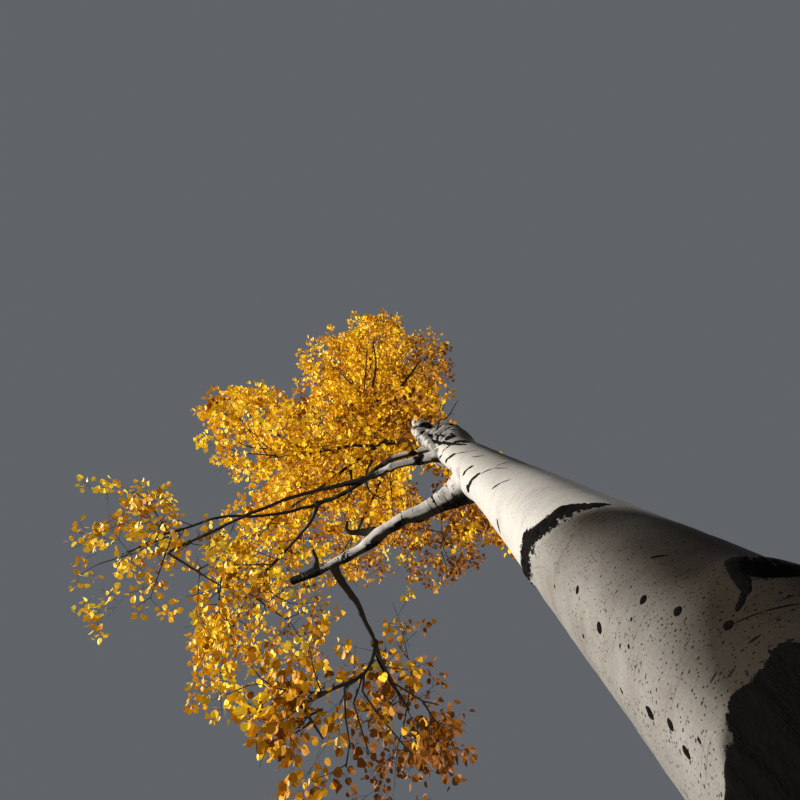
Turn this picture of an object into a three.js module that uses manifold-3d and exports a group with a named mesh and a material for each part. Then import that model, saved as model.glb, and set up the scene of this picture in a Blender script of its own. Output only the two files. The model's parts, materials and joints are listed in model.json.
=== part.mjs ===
// A poplar tree in autumn leaf: its trunk, its boughs and its masses of foliage.
// Millimetres, +Z up. The origin is the middle of the flat cut under the trunk.

import * as THREE from 'three';
import { mergeVertices } from 'three/addons/utils/BufferGeometryUtils.js';
import Module from 'manifold-3d';

const wasm = await Module();
wasm.setup();

// Driving sizes

const seat = 0.3;
const limbClearance = 24;
const spaceMargin = 0.06;
const simplifyWithin = 0.5;

const trunk = {
  sides: 18,
  rings: 22,
  course: [[0, 0, 0], [-63, -27, 620], [-369, -159, 3620], [-755, -295, 5220], [-1017, -661, 8500]],
  core: 100,
  coreTop: 9300,
  butt: 97,
  buttHeight: 2530,
  whorl: { height: 3480, swell: 38, spread: 150 },
  roots: { flare: 46, lobes: 5, lobeSwell: 0.12, fall: 190 },
};

const leaf = { longest: 470, shortest: 320, widthShare: 0.92, widest: 0.42, thickness: 18, sunk: 2, mostRoll: 40 };
const twig = { stem: 20, stemTip: 15, base: 9, tip: 7 };
const crowding = { leaves: 14.4, tries: 400, twigs: 4, typicalRadius: 490 };

// Boughs: each leaves its parent, runs through a few bends and thins to its tip.
// A limb that bends round a wide gap is split there, so its second piece starts at a share of its course.

const boughs = [
  { name: 'low_bough', parent: 'trunk', from: 2800, base: 44, tip: 24,
    bends: [[-480, 20, 2820], [-600, 75, 2840], [-790, 225, 2890], [-1055, 365, 2970]] },
  { name: 'hanging_bough', parent: 'low_bough', base: 19, tip: 10, share: [0, 0.62],
    bends: [[-800, 236, 2900], [-815, 350, 2940], [-755, 455, 2950], [-702, 600, 2890],
      [-745, 690, 2840], [-890, 735, 2780]] },
  { name: 'hanging_bough_end', sameCourse: 'hanging_bough', base: 19, tip: 10, share: [0.62, 1] },
  { name: 'low_right_bough', parent: 'hanging_bough', base: 12, tip: 8,
    bends: [[-705, 590, 2895], [-670, 760, 3010], [-605, 950, 3165]] },
  { name: 'long_bough', parent: 'trunk', from: 3350, base: 25, tip: 10,
    bends: [[-610, -75, 3400], [-820, 10, 3440], [-1010, 65, 3480], [-1365, 190, 3540], [-1730, 370, 3620]] },
  { name: 'twin_bough', parent: 'trunk', from: 3560, base: 21, tip: 9,
    bends: [[-635, -80, 3620], [-900, 115, 3700], [-1215, 240, 3770], [-1605, 285, 3820], [-1860, 355, 3820]] },
  { name: 'drop_bough', parent: 'twin_bough', base: 13, tip: 9,
    bends: [[-1060, 185, 3735], [-1115, 305, 3820], [-1265, 485, 3920], [-1450, 680, 4010]] },
  { name: 'upper_left_bough', parent: 'trunk', from: 3850, base: 24, tip: 11,
    bends: [[-705, -100, 4220], [-985, -60, 4420], [-1325, 25, 4620]] },
  { name: 'middle_bough', parent: 'trunk', from: 4320, base: 22, tip: 11,
    bends: [[-640, -130, 4540], [-800, -35, 4780], [-900, 25, 4920]] },
  { name: 'right_bough', parent: 'trunk', from: 3200, base: 28, tip: 12,
    bends: [[-225, 80, 3600], [-105, 270, 4220], [-205, 740, 5450]] },
  { name: 'far_bough', parent: 'trunk', from: 3420, base: 27, tip: 12,
    bends: [[-60, 80, 3700], [120, 215, 3990], [290, 345, 4270]] },
  { name: 'far_high_bough', parent: 'trunk', from: 3640, base: 26, tip: 12,
    bends: [[-110, 60, 4200], [170, 280, 4850], [510, 545, 5430]] },
  { name: 'far_top_bough', parent: 'trunk', from: 4560, base: 24, tip: 11,
    bends: [[-300, 0, 5350], [60, 220, 6150], [415, 458, 6850]] },
  { name: 'crown_bough_1', parent: 'trunk', from: 5180, base: 18, tip: 9,
    bends: [[-900, -360, 5500], [-1000, -440, 5800], [-1080, -520, 6100]] },
  { name: 'crown_bough_2', parent: 'trunk', from: 5320, base: 18, tip: 9,
    bends: [[-855, -450, 5750], [-910, -630, 6150], [-938, -780, 6480]] },
  { name: 'crown_bough_3', parent: 'trunk', from: 5240, base: 18, tip: 9,
    bends: [[-690, -370, 5650], [-600, -500, 6050], [-545, -600, 6400]] },
  { name: 'crown_bough_4', parent: 'trunk', from: 5000, base: 17, tip: 9,
    bends: [[-720, -200, 5400], [-745, -140, 5850], [-770, -100, 6260]] },
  { name: 'crown_bough_5', parent: 'trunk', from: 4900, base: 18, tip: 9,
    bends: [[-850, -270, 5250], [-1000, -230, 5500], [-1180, -200, 5760]] },
  { name: 'crown_bough_6', parent: 'trunk', from: 5060, base: 18, tip: 9,
    bends: [[-860, -150, 5500], [-1060, 80, 5950], [-1290, 300, 6330]] },
  { name: 'crown_bough_7', parent: 'trunk', from: 4700, base: 18, tip: 9,
    bends: [[-640, -50, 5250], [-690, 260, 5850], [-715, 620, 6470]] },
  { name: 'left_high_bough', parent: 'trunk', from: 4100, base: 23, tip: 11,
    bends: [[-760, -60, 4430], [-1160, 240, 4680], [-1540, 520, 5050]] },
  { name: 'centre_high_bough', parent: 'trunk', from: 4460, base: 21, tip: 11,
    bends: [[-640, -60, 4750], [-760, 250, 5050], [-930, 640, 5340]] },
];
const boughSides = 6;
const ringsPerBend = 1.6;

// Masses of foliage: each is a space with a middle and half sizes, on the limb that carries it.

const gold = 0xf2b90f;
const amber = 0xdf9312;
const russet = 0xb5701a;

// The masses on the far side of the trunk stretch out along this heading, in degrees from +X.

const farSide = 42;

const masses = [
  { name: 'far_left_foliage', limb: 'twin_bough', middle: [-2150, 480, 3740], half: [400, 480, 520], tint: gold },
  { name: 'left_foliage', limb: 'long_bough', middle: [-1660, 690, 3860], half: [310, 350, 500], tint: gold },
  { name: 'centre_left_foliage', limb: 'drop_bough', middle: [-1345, 1040, 4220], half: [390, 450, 560],
    tint: gold },
  { name: 'low_foliage', limb: 'hanging_bough_end', middle: [-910, 965, 2860], half: [430, 430, 400],
    tint: gold },
  { name: 'low_right_foliage', limb: 'low_right_bough', middle: [-610, 1180, 3530], half: [310, 640, 500],
    tint: russet },
  { name: 'far_foliage', limb: 'far_bough', middle: [767, 775, 4520], half: [700, 370, 680], turn: farSide,
    tint: russet },
  { name: 'far_high_foliage', limb: 'far_high_bough', middle: [903, 897, 5850], half: [640, 390, 740],
    turn: farSide, tint: amber },
  { name: 'far_top_foliage', limb: 'far_top_bough', middle: [735, 744, 7200], half: [540, 360, 720],
    turn: farSide, tint: amber },
  { name: 'mid_left_foliage', limb: 'upper_left_bough', middle: [-1700, -75, 4900], half: [500, 460, 660],
    tint: gold },
  { name: 'middle_foliage', limb: 'middle_bough', middle: [-1125, 205, 5300], half: [500, 450, 700],
    tint: amber },
  { name: 'left_high_foliage', limb: 'left_high_bough', middle: [-1800, 770, 5500], half: [460, 450, 680],
    tint: gold },
  { name: 'centre_high_foliage', limb: 'centre_high_bough', middle: [-1060, 920, 5680], half: [440, 430, 700],
    tint: amber },
  { name: 'right_foliage', limb: 'right_bough', middle: [-240, 1030, 5850], half: [480, 470, 740],
    tint: amber },
  { name: 'crown_foliage_1', limb: 'crown_bough_1', middle: [-1290, -690, 6500], half: [460, 450, 800],
    tint: gold },
  { name: 'crown_foliage_2', limb: 'crown_bough_2', middle: [-900, -1020, 6920], half: [440, 400, 780],
    tint: gold },
  { name: 'crown_foliage_3', limb: 'crown_bough_3', middle: [-440, -700, 6870], half: [430, 460, 800],
    tint: amber },
  { name: 'crown_foliage_4', limb: 'crown_bough_4', middle: [-740, 40, 6750], half: [460, 450, 800],
    tint: amber },
  { name: 'crown_foliage_5', limb: 'crown_bough_5', middle: [-1480, -80, 6300], half: [470, 450, 720],
    tint: gold },
  { name: 'crown_foliage_6', limb: 'crown_bough_6', middle: [-1480, 560, 6820], half: [460, 450, 720],
    tint: gold },
  { name: 'crown_foliage_7', limb: 'crown_bough_7', middle: [-730, 930, 6880], half: [440, 430, 720],
    tint: amber },
];

// The upper tier is three masses round the leader, and one more stands on its tip.

const tier = {
  count: 3, middle: [-990, -600, 8050], reach: 430, turn: 30, half: [490, 490, 820], stemDrop: 760,
  stagger: 150,
};
for (let i = 0; i < tier.count; i += 1) {
  const angle = THREE.MathUtils.degToRad(tier.turn + (360 * i) / tier.count);
  const [x, y, z] = tier.middle;
  masses.push({
    name: `upper_foliage_${i + 1}`,
    limb: 'trunk',
    from: z - tier.stemDrop + tier.stagger * i,
    middle: [x + tier.reach * Math.cos(angle), y + tier.reach * Math.sin(angle), z],
    half: tier.half,
    tint: i === 0 ? amber : gold,
  });
}
masses.push({ name: 'top_foliage', limb: 'trunk', middle: [-1055, -715, 9120], half: [410, 410, 720], tint: gold });

// Limbs as courses: a smooth curve, a radius at each share of it, and the ring of points there

const up = new THREE.Vector3(0, 0, 1);

function courseThrough(points) {
  const places = points.map((point) => new THREE.Vector3(...point));
  return new THREE.CatmullRomCurve3(places, false, 'catmullrom', 0.5);
}

function trunkRadius(height, angle) {
  const { core, coreTop, butt, buttHeight, whorl, roots } = trunk;
  const taper = core * (1 - height / coreTop) + butt * Math.exp(-((height / buttHeight) ** 2));
  const swelling = whorl.swell * Math.exp(-(((height - whorl.height) / whorl.spread) ** 2));
  const nearGround = Math.exp(-height / roots.fall);
  const lobe = 1 + roots.lobeSwell * nearGround * Math.cos(roots.lobes * angle);
  return (taper + swelling + roots.flare * nearGround) * lobe;
}

function makeTrunk() {
  const curve = courseThrough(trunk.course);
  return {
    name: 'trunk',
    sides: trunk.sides,
    rings: trunk.rings,
    share: [0, 1],
    curve,
    ringAt(share) {
      const centre = curve.getPoint(share);
      return {
        centre,
        side: new THREE.Vector3(1, 0, 0),
        across: new THREE.Vector3(0, 1, 0),
        radius: (angle) => trunkRadius(centre.z, angle),
      };
    },
  };
}

function heightOnTrunk(height) {
  let low = 0;
  let high = 1;
  for (let step = 0; step < 40; step += 1) {
    const middle = (low + high) / 2;
    if (limbs.trunk.curve.getPoint(middle).z < height) {
      low = middle;
    } else {
      high = middle;
    }
  }
  return limbs.trunk.curve.getPoint(low);
}

function makeBough(bough) {
  const source = bough.sameCourse ? boughs.find((other) => other.name === bough.sameCourse) : bough;
  const start = source.from ? [heightOnTrunk(source.from).toArray()] : [];
  const curve = courseThrough([...start, ...source.bends]);
  const share = bough.share ?? [0, 1];
  const chord = curve.getPoint(share[1]).sub(curve.getPoint(share[0]));
  const level = new THREE.Vector3().crossVectors(up, chord).normalize();
  const span = share[1] - share[0];
  return {
    name: bough.name,
    sides: boughSides,
    rings: Math.max(3, Math.round(ringsPerBend * source.bends.length * span)),
    share,
    curve,
    ringAt(along) {
      const place = share[0] + span * along;
      const centre = curve.getPoint(place);
      const ahead = curve.getTangent(place);
      const side = level.clone().addScaledVector(ahead, -level.dot(ahead)).normalize();
      const across = new THREE.Vector3().crossVectors(ahead, side);
      const radius = bough.base + (bough.tip - bough.base) * Math.sqrt(place);
      return { centre, side, across, radius: () => radius };
    },
  };
}

function limbGeometry(limb, grow = 0) {
  const geometry = new THREE.CylinderGeometry(1, 1, 1, limb.sides, limb.rings);
  const position = geometry.attributes.position;
  for (let i = 0; i < position.count; i += 1) {
    const x = position.getX(i);
    const y = -position.getZ(i);
    const ring = limb.ringAt(position.getY(i) + 0.5);
    const angle = Math.atan2(y, x);
    const out = Math.hypot(x, y) * (ring.radius(angle) + grow);
    const point = ring.centre.addScaledVector(ring.side, out * Math.cos(angle));
    point.addScaledVector(ring.across, out * Math.sin(angle));
    position.setXYZ(i, point.x, point.y, point.z);
  }
  return geometry;
}

// Solids: joining and cutting

function toSolid(geometry) {
  const bare = geometry.clone();
  bare.deleteAttribute('normal');
  bare.deleteAttribute('uv');
  const merged = mergeVertices(bare, 1e-3);
  return new wasm.Manifold(new wasm.Mesh({
    numProp: 3,
    vertProperties: Float32Array.from(merged.attributes.position.array),
    triVerts: Uint32Array.from(merged.index.array),
  }));
}

function toGeometry(solid) {
  const mesh = solid.getMesh();
  const geometry = new THREE.BufferGeometry();
  geometry.setAttribute('position', new THREE.BufferAttribute(Float32Array.from(mesh.vertProperties), 3));
  geometry.setIndex(new THREE.BufferAttribute(Uint32Array.from(mesh.triVerts), 1));
  geometry.computeVertexNormals();
  return geometry;
}

function largestPiece(solid) {
  const pieces = solid.decompose();
  return pieces.reduce((best, piece) => (piece.volume() > best.volume() ? piece : best));
}

const limbs = {};
limbs.trunk = makeTrunk();
boughs.forEach((bough) => {
  limbs[bough.name] = makeBough(bough);
});

// A limb stands a seat's width off its parent: cut to it, or moved along its own course where it goes on

function seatRound(name) {
  const limb = limbs[name];
  return toSolid(limbGeometry(limb, seat / Math.cos(Math.PI / limb.sides)));
}

function limbSolid(bough) {
  const limb = limbs[bough.name];
  const solid = toSolid(limbGeometry(limb));
  if (bough.sameCourse) {
    return solid.translate(limb.curve.getTangent(bough.share[0]).multiplyScalar(seat).toArray());
  }
  return largestPiece(solid.subtract(seatRound(bough.parent)));
}

// Beads along every limb, which a twig or leaf stays clear of

const beadStep = 25;
const beads = Object.values(limbs).flatMap((limb) => {
  const length = limb.curve.getLength() * (limb.share[1] - limb.share[0]);
  const count = Math.ceil(length / beadStep);
  return Array.from({ length: count + 1 }, (_, i) => {
    const ring = limb.ringAt(i / count);
    return { centre: ring.centre, radius: ring.radius(0) };
  });
});

// The seeded rule by which twigs branch and leaves are dealt out

const fullTurn = 2 * Math.PI;
const spreadSteps = [0.8191725134, 0.6710436067, 0.5497004779];
const rollStep = 0.6180339887;

function spread(seed) {
  return spreadSteps.map((step) => (0.5 + seed * step) % 1);
}

function turned(x, y, degrees = 0) {
  const angle = THREE.MathUtils.degToRad(degrees);
  return [x * Math.cos(angle) - y * Math.sin(angle), x * Math.sin(angle) + y * Math.cos(angle)];
}

function placeInside(mass, seed, inner, outer) {
  const [depth, polar, round] = spread(seed);
  const out = Math.cbrt(inner ** 3 + (outer ** 3 - inner ** 3) * depth);
  const high = 1 - 2 * polar;
  const flat = Math.sqrt(1 - high * high);
  const x = out * mass.half[0] * flat * Math.cos(fullTurn * round);
  const y = out * mass.half[1] * flat * Math.sin(fullTurn * round);
  const offset = new THREE.Vector3(...turned(x, y, mass.turn), out * mass.half[2] * high);
  return offset.add(new THREE.Vector3(...mass.middle));
}

function depthIn(mass, point) {
  const [x, y, z] = mass.middle;
  const [along, aside] = turned(point.x - x, point.y - y, -(mass.turn ?? 0));
  return Math.hypot(along / mass.half[0], aside / mass.half[1], (point.z - z) / mass.half[2]);
}

function inOwnSpace(mass, point) {
  const own = depthIn(mass, point);
  return own <= 1 && masses.every((other) => other === mass || depthIn(other, point) > own + spaceMargin);
}

function clearOfLimbs(point, clearance) {
  return beads.every((bead) => point.distanceTo(bead.centre) > bead.radius + clearance);
}

function pointsAlong(from, to, step) {
  const count = Math.max(1, Math.ceil(from.distanceTo(to) / step));
  return Array.from({ length: count }, (_, i) => from.clone().lerp(to, (i + 1) / count));
}

function nearestPlace(stretches, point) {
  let best = null;
  stretches.forEach((stretch) => {
    const run = stretch.to.clone().sub(stretch.from);
    const length = run.length();
    const away = point.clone().sub(stretch.from);
    const foot = away.dot(run) / length;
    const aside = Math.sqrt(Math.max(0, away.lengthSq() - foot * foot));
    const along = Math.min(0.97 * length, Math.max(0.12 * length, foot - 0.8 * aside));
    const place = stretch.from.clone().addScaledVector(run, along / length);
    const cost = place.distanceTo(point);
    if (!best || cost < best.cost) {
      best = { place, cost, stretch };
    }
  });
  return best;
}

// A leaf lies nearly in the plane of its twig, rolled a little out of it

function leafFrame(ahead, stretch, seed) {
  const run = stretch.to.clone().sub(stretch.from).normalize();
  const flat = run.addScaledVector(ahead, -run.dot(ahead)).normalize();
  const over = new THREE.Vector3().crossVectors(ahead, flat);
  const roll = THREE.MathUtils.degToRad(leaf.mostRoll) * (2 * ((rollStep * seed) % 1) - 1);
  const wide = flat.multiplyScalar(Math.cos(roll)).addScaledVector(over, Math.sin(roll));
  return { wide, thick: new THREE.Vector3().crossVectors(ahead, wide) };
}

function growMass(mass, order) {
  const seed = 500 * (order + 1);
  const middle = new THREE.Vector3(...mass.middle);
  const carrier = limbs[mass.limb];
  const onTrunk = mass.from !== undefined;
  const foot = onTrunk ? heightOnTrunk(mass.from) : carrier.curve.getPoint(carrier.share[1]);
  const ahead = mass.limb === 'trunk' ? up.clone() : carrier.curve.getTangent(carrier.share[1]);
  const root = onTrunk ? foot : foot.clone().addScaledVector(ahead, seat);
  const bend = onTrunk
    ? root.clone().lerp(middle, 0.5).addScaledVector(up, -0.2 * root.distanceTo(middle))
    : root.clone().addScaledVector(ahead, 0.4 * root.distanceTo(middle));
  const stems = [
    { from: root, to: bend, thick: [twig.stem, twig.stem] },
    { from: bend, to: middle, thick: [twig.stem, twig.stemTip] },
  ];
  const fullness = Math.cbrt(mass.half[0] * mass.half[1] * mass.half[2]) / crowding.typicalRadius;
  const twigCount = Math.round(crowding.twigs * fullness ** 2);
  const leafCount = Math.round(crowding.leaves * fullness ** 2);

  const tips = Array.from({ length: twigCount }, (_, i) => placeInside(mass, seed + i, 0.35, 0.6));
  tips.sort((a, b) => a.distanceTo(root) - b.distanceTo(root));
  const stretches = [...stems];
  tips.forEach((tip) => {
    const { place } = nearestPlace(stretches, tip);
    if (twigIsClear(mass, place, tip)) {
      stretches.push({ from: place, to: tip, thick: [twig.base, twig.tip] });
    }
  });

  const twigs = stretches.map((stretch, i) => ({ stretch, solid: twigSolid(stretch, i === 1 ? twig.tip : 0) }));
  const blades = [];
  for (let i = 0; i < crowding.tries && blades.length < leafCount; i += 1) {
    const aim = placeInside(mass, seed + 100 + i, 0.5, 0.97);
    const { place, cost, stretch } = nearestPlace(stretches, aim);
    const direction = aim.clone().sub(place).normalize();
    const length = Math.min(leaf.longest, Math.max(leaf.shortest, cost));
    const blade = { start: place, direction, length, ...leafFrame(direction, stretch, seed + i) };
    if (leafIsClear(mass, blade)) {
      const solid = leafSolid(blade);
      const others = twigs.filter((other) => other.stretch !== stretch).map((other) => other.solid);
      if ([...others, ...blades].every((other) => apart(solid, other))) {
        blades.push(solid);
      }
    }
  }
  return [...twigs.map((other) => other.solid), ...blades];
}

// Two leaves don't cross, and a leaf meets no twig but its own

function apart(solid, other) {
  const one = solid.boundingBox();
  const two = other.boundingBox();
  const away = one.min.some((low, axis) => low > two.max[axis] || two.min[axis] > one.max[axis]);
  return away || solid.intersect(other).isEmpty();
}

function twigIsClear(mass, from, to) {
  return pointsAlong(from, to, 40).every(
    (point) => inOwnSpace(mass, point) && clearOfLimbs(point, limbClearance),
  );
}

function leafIsClear(mass, blade) {
  for (let along = 1; along <= 8; along += 1) {
    const share = along / 8;
    const nearness = share < leaf.widest ? share / leaf.widest : (1 - share) / (1 - leaf.widest);
    const wide = 0.5 * leaf.widthShare * blade.length * nearness;
    for (const across of [-1, -0.5, 0, 0.5, 1]) {
      const point = blade.start.clone().addScaledVector(blade.direction, share * blade.length);
      point.addScaledVector(blade.wide, across * wide);
      if (!inOwnSpace(mass, point) || !clearOfLimbs(point, limbClearance)) {
        return false;
      }
    }
  }
  return true;
}

// The pieces of a mass as solids: three-sided twigs and eight-faced leaves

function twigSolid({ from, to, thick }, overlap) {
  const ahead = to.clone().sub(from).normalize();
  const start = from.clone().addScaledVector(ahead, -overlap);
  const length = start.distanceTo(to);
  const geometry = new THREE.CylinderGeometry(thick[1], thick[0], length, 3, 1);
  const turn = new THREE.Quaternion().setFromUnitVectors(new THREE.Vector3(0, 1, 0), ahead);
  geometry.applyQuaternion(turn);
  geometry.translate(...start.clone().addScaledVector(ahead, length / 2).toArray());
  return toSolid(geometry);
}

function leafSolid(blade) {
  const geometry = new THREE.OctahedronGeometry(1);
  const position = geometry.attributes.position;
  for (let i = 0; i < position.count; i += 1) {
    if (Math.abs(position.getX(i)) < 0.5) {
      position.setX(i, 2 * leaf.widest - 1);
    }
  }
  const scale = new THREE.Matrix4().makeScale(
    (blade.length + leaf.sunk) / 2,
    (leaf.widthShare * blade.length) / 2,
    leaf.thickness / 2,
  );
  const centre = blade.start.clone().addScaledVector(blade.direction, (blade.length - leaf.sunk) / 2);
  const turn = new THREE.Matrix4().makeBasis(blade.direction, blade.wide, blade.thick).setPosition(centre);
  geometry.applyMatrix4(scale.premultiply(turn));
  return toSolid(geometry);
}

function massSolid(mass, order) {
  let solid = wasm.Manifold.union(growMass(mass, order)).simplify(simplifyWithin);
  if (mass.from !== undefined) {
    solid = solid.subtract(seatRound(mass.limb));
  }
  return largestPiece(solid);
}

// The tree

const tree = new THREE.Group();
tree.name = 'poplar_tree';

function barkMaterial(colour) {
  return new THREE.MeshStandardMaterial({ color: colour, roughness: 0.85, metalness: 0 });
}

function foliageMaterial(colour) {
  return new THREE.MeshStandardMaterial({ color: colour, roughness: 0.6, metalness: 0, flatShading: true });
}

function addNode(name, geometry, material) {
  const mesh = new THREE.Mesh(geometry, material);
  mesh.name = name;
  tree.add(mesh);
}

const paleBark = 0xd9d0bd;
const boughBark = 0x9c9384;

addNode('trunk', limbGeometry(limbs.trunk), barkMaterial(paleBark));
boughs.forEach((bough) => {
  addNode(bough.name, toGeometry(limbSolid(bough)), barkMaterial(boughBark));
});
masses.forEach((mass, order) => {
  addNode(mass.name, toGeometry(massSolid(mass, order)), foliageMaterial(mass.tint));
});

export default tree;
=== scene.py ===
"""A poplar tree in gold autumn leaf: bark with relief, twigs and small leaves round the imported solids.

Metres, +Z up. The origin is the middle of the flat cut under the trunk, as in the solids. A side of the
trunk is an angle in degrees from +X towards +Y in the tables, and in radians inside the functions.
"""

import json
import math
from collections import namedtuple

import bpy
import numpy as np
from mathutils import Matrix, Vector

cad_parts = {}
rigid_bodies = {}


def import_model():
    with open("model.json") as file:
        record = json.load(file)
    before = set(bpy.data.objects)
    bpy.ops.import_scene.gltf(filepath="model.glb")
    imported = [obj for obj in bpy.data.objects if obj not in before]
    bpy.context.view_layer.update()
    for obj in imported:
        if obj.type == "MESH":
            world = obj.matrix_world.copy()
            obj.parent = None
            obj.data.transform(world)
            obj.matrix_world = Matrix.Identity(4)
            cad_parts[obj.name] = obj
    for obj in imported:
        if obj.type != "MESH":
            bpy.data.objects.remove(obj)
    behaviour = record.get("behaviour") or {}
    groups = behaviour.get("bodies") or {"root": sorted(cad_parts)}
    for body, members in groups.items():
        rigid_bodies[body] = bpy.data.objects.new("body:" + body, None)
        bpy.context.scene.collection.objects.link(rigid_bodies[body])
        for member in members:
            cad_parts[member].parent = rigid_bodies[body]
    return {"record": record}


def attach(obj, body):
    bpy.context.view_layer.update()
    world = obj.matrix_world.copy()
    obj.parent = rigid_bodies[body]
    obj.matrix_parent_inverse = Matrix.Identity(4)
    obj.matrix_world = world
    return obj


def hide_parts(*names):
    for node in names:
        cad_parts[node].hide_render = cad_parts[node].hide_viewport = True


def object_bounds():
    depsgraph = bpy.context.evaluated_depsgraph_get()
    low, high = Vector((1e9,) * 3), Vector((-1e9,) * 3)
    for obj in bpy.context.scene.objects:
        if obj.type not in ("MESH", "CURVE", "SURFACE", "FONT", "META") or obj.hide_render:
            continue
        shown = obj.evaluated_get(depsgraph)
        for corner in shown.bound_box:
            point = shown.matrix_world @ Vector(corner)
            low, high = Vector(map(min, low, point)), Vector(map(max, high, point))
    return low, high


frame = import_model()
cad_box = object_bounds()

# Camera: close to the trunk and low down, looking straight up. The photograph is 800 pixels square, its
# lens is 560 of those pixels long, and straight up shows at the zenith.

CAMERA_PLACE = (-0.5826, -0.4345, 0.62)
PICTURE_SIZE, LENS_PIXELS, ZENITH = 800, 560, (404, 392)
CAMERA_AHEAD = tuple((PICTURE_SIZE / 2 - up) / LENS_PIXELS for up in ZENITH) + (1.0,)
SENSOR_MM = 36
LENS_MM = SENSOR_MM * LENS_PIXELS / PICTURE_SIZE

FULL_TURN = 2 * math.pi
GOLDEN_ANGLE = 2.39996
UP = np.array([0.0, 0.0, 1.0])

# Sizes of the trunk, the same as the solid has

TRUNK_COURSE = [(0, 0, 0), (-0.063, -0.027, 0.62), (-0.369, -0.159, 3.62), (-0.755, -0.295, 5.22),
                (-1.017, -0.661, 8.5)]
TRUNK_TOP = TRUNK_COURSE[-1][2]
TRUNK_CORE, TRUNK_CORE_TOP = 0.1, 9.3
BUTT, BUTT_HEIGHT = 0.097, 2.53
WHORL_HEIGHT, WHORL_SWELL, WHORL_SPREAD = 3.48, 0.038, 0.15
ROOT_FLARE, ROOT_LOBES, ROOT_LOBE_SWELL, ROOT_FALL = 0.046, 5, 0.12, 0.19

# Boughs as in the solids, but for the low bough's thinner end and the hanging bough's small crooks: the
# parent, the height on the trunk, the radius at the base and at the tip, and the bends.

Bough = namedtuple("Bough", "parent height base tip bends")
BOUGHS = {
    "low_bough": Bough("trunk", 2.8, 0.044, 0.0165, [
        (-0.48, 0.02, 2.82), (-0.6, 0.075, 2.84), (-0.79, 0.225, 2.89), (-1.055, 0.365, 2.97)]),
    "hanging_bough": Bough("low_bough", None, 0.019, 0.01, [
        (-0.875, 0.27, 2.915), (-0.842, 0.345, 2.93), (-0.79, 0.42, 2.945), (-0.755, 0.49, 2.94),
        (-0.702, 0.6, 2.89), (-0.745, 0.69, 2.84), (-0.89, 0.735, 2.78)]),
    "low_right_bough": Bough("hanging_bough", None, 0.012, 0.008, [
        (-0.705, 0.59, 2.895), (-0.67, 0.76, 3.01), (-0.605, 0.95, 3.165)]),
    "long_bough": Bough("trunk", 3.35, 0.025, 0.01, [
        (-0.61, -0.075, 3.4), (-0.82, 0.01, 3.44), (-1.01, 0.065, 3.48), (-1.365, 0.19, 3.54),
        (-1.73, 0.37, 3.62)]),
    "twin_bough": Bough("trunk", 3.56, 0.021, 0.009, [
        (-0.635, -0.08, 3.62), (-0.9, 0.115, 3.7), (-1.215, 0.24, 3.77), (-1.605, 0.285, 3.82),
        (-1.86, 0.355, 3.82)]),
    "drop_bough": Bough("twin_bough", None, 0.013, 0.009, [
        (-1.06, 0.185, 3.735), (-1.115, 0.305, 3.82), (-1.265, 0.485, 3.92), (-1.45, 0.68, 4.01)]),
    "upper_left_bough": Bough("trunk", 3.85, 0.024, 0.011, [
        (-0.705, -0.1, 4.22), (-0.985, -0.06, 4.42), (-1.325, 0.025, 4.62)]),
    "middle_bough": Bough("trunk", 4.32, 0.022, 0.011, [
        (-0.64, -0.13, 4.54), (-0.8, -0.035, 4.78), (-0.9, 0.025, 4.92)]),
    "right_bough": Bough("trunk", 3.2, 0.028, 0.012, [
        (-0.225, 0.08, 3.6), (-0.105, 0.27, 4.22), (-0.205, 0.74, 5.45)]),
    "far_bough": Bough("trunk", 3.42, 0.027, 0.012, [
        (-0.06, 0.08, 3.7), (0.12, 0.215, 3.99), (0.29, 0.345, 4.27)]),
    "far_high_bough": Bough("trunk", 3.64, 0.026, 0.012, [
        (-0.11, 0.06, 4.2), (0.17, 0.28, 4.85), (0.51, 0.545, 5.43)]),
    "far_top_bough": Bough("trunk", 4.56, 0.024, 0.011, [
        (-0.3, 0, 5.35), (0.06, 0.22, 6.15), (0.415, 0.458, 6.85)]),
    "crown_bough_1": Bough("trunk", 5.18, 0.018, 0.009, [
        (-0.9, -0.36, 5.5), (-1.0, -0.44, 5.8), (-1.08, -0.52, 6.1)]),
    "crown_bough_2": Bough("trunk", 5.32, 0.018, 0.009, [
        (-0.855, -0.45, 5.75), (-0.91, -0.63, 6.15), (-0.938, -0.78, 6.48)]),
    "crown_bough_3": Bough("trunk", 5.24, 0.018, 0.009, [
        (-0.69, -0.37, 5.65), (-0.6, -0.5, 6.05), (-0.545, -0.6, 6.4)]),
    "crown_bough_4": Bough("trunk", 5.0, 0.017, 0.009, [
        (-0.72, -0.2, 5.4), (-0.745, -0.14, 5.85), (-0.77, -0.1, 6.26)]),
    "crown_bough_5": Bough("trunk", 4.9, 0.018, 0.009, [
        (-0.85, -0.27, 5.25), (-1.0, -0.23, 5.5), (-1.18, -0.2, 5.76)]),
    "crown_bough_6": Bough("trunk", 5.06, 0.018, 0.009, [
        (-0.86, -0.15, 5.5), (-1.06, 0.08, 5.95), (-1.29, 0.3, 6.33)]),
    "crown_bough_7": Bough("trunk", 4.7, 0.018, 0.009, [
        (-0.64, -0.05, 5.25), (-0.69, 0.26, 5.85), (-0.715, 0.62, 6.47)]),
    "left_high_bough": Bough("trunk", 4.1, 0.023, 0.011, [
        (-0.76, -0.06, 4.43), (-1.16, 0.24, 4.68), (-1.54, 0.52, 5.05)]),
    "centre_high_bough": Bough("trunk", 4.46, 0.021, 0.011, [
        (-0.64, -0.06, 4.75), (-0.76, 0.25, 5.05), (-0.93, 0.64, 5.34)]),
}

# Masses of foliage: the limb, the middle and the half sizes of the mass's space, its turn in degrees, its
# tone from 0, russet, to 1, pale gold, which is lower for masses that stand in shade and so partly painted
# shade, how full of leaves it is, and how high its stem stands where that is on the trunk's side.

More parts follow.
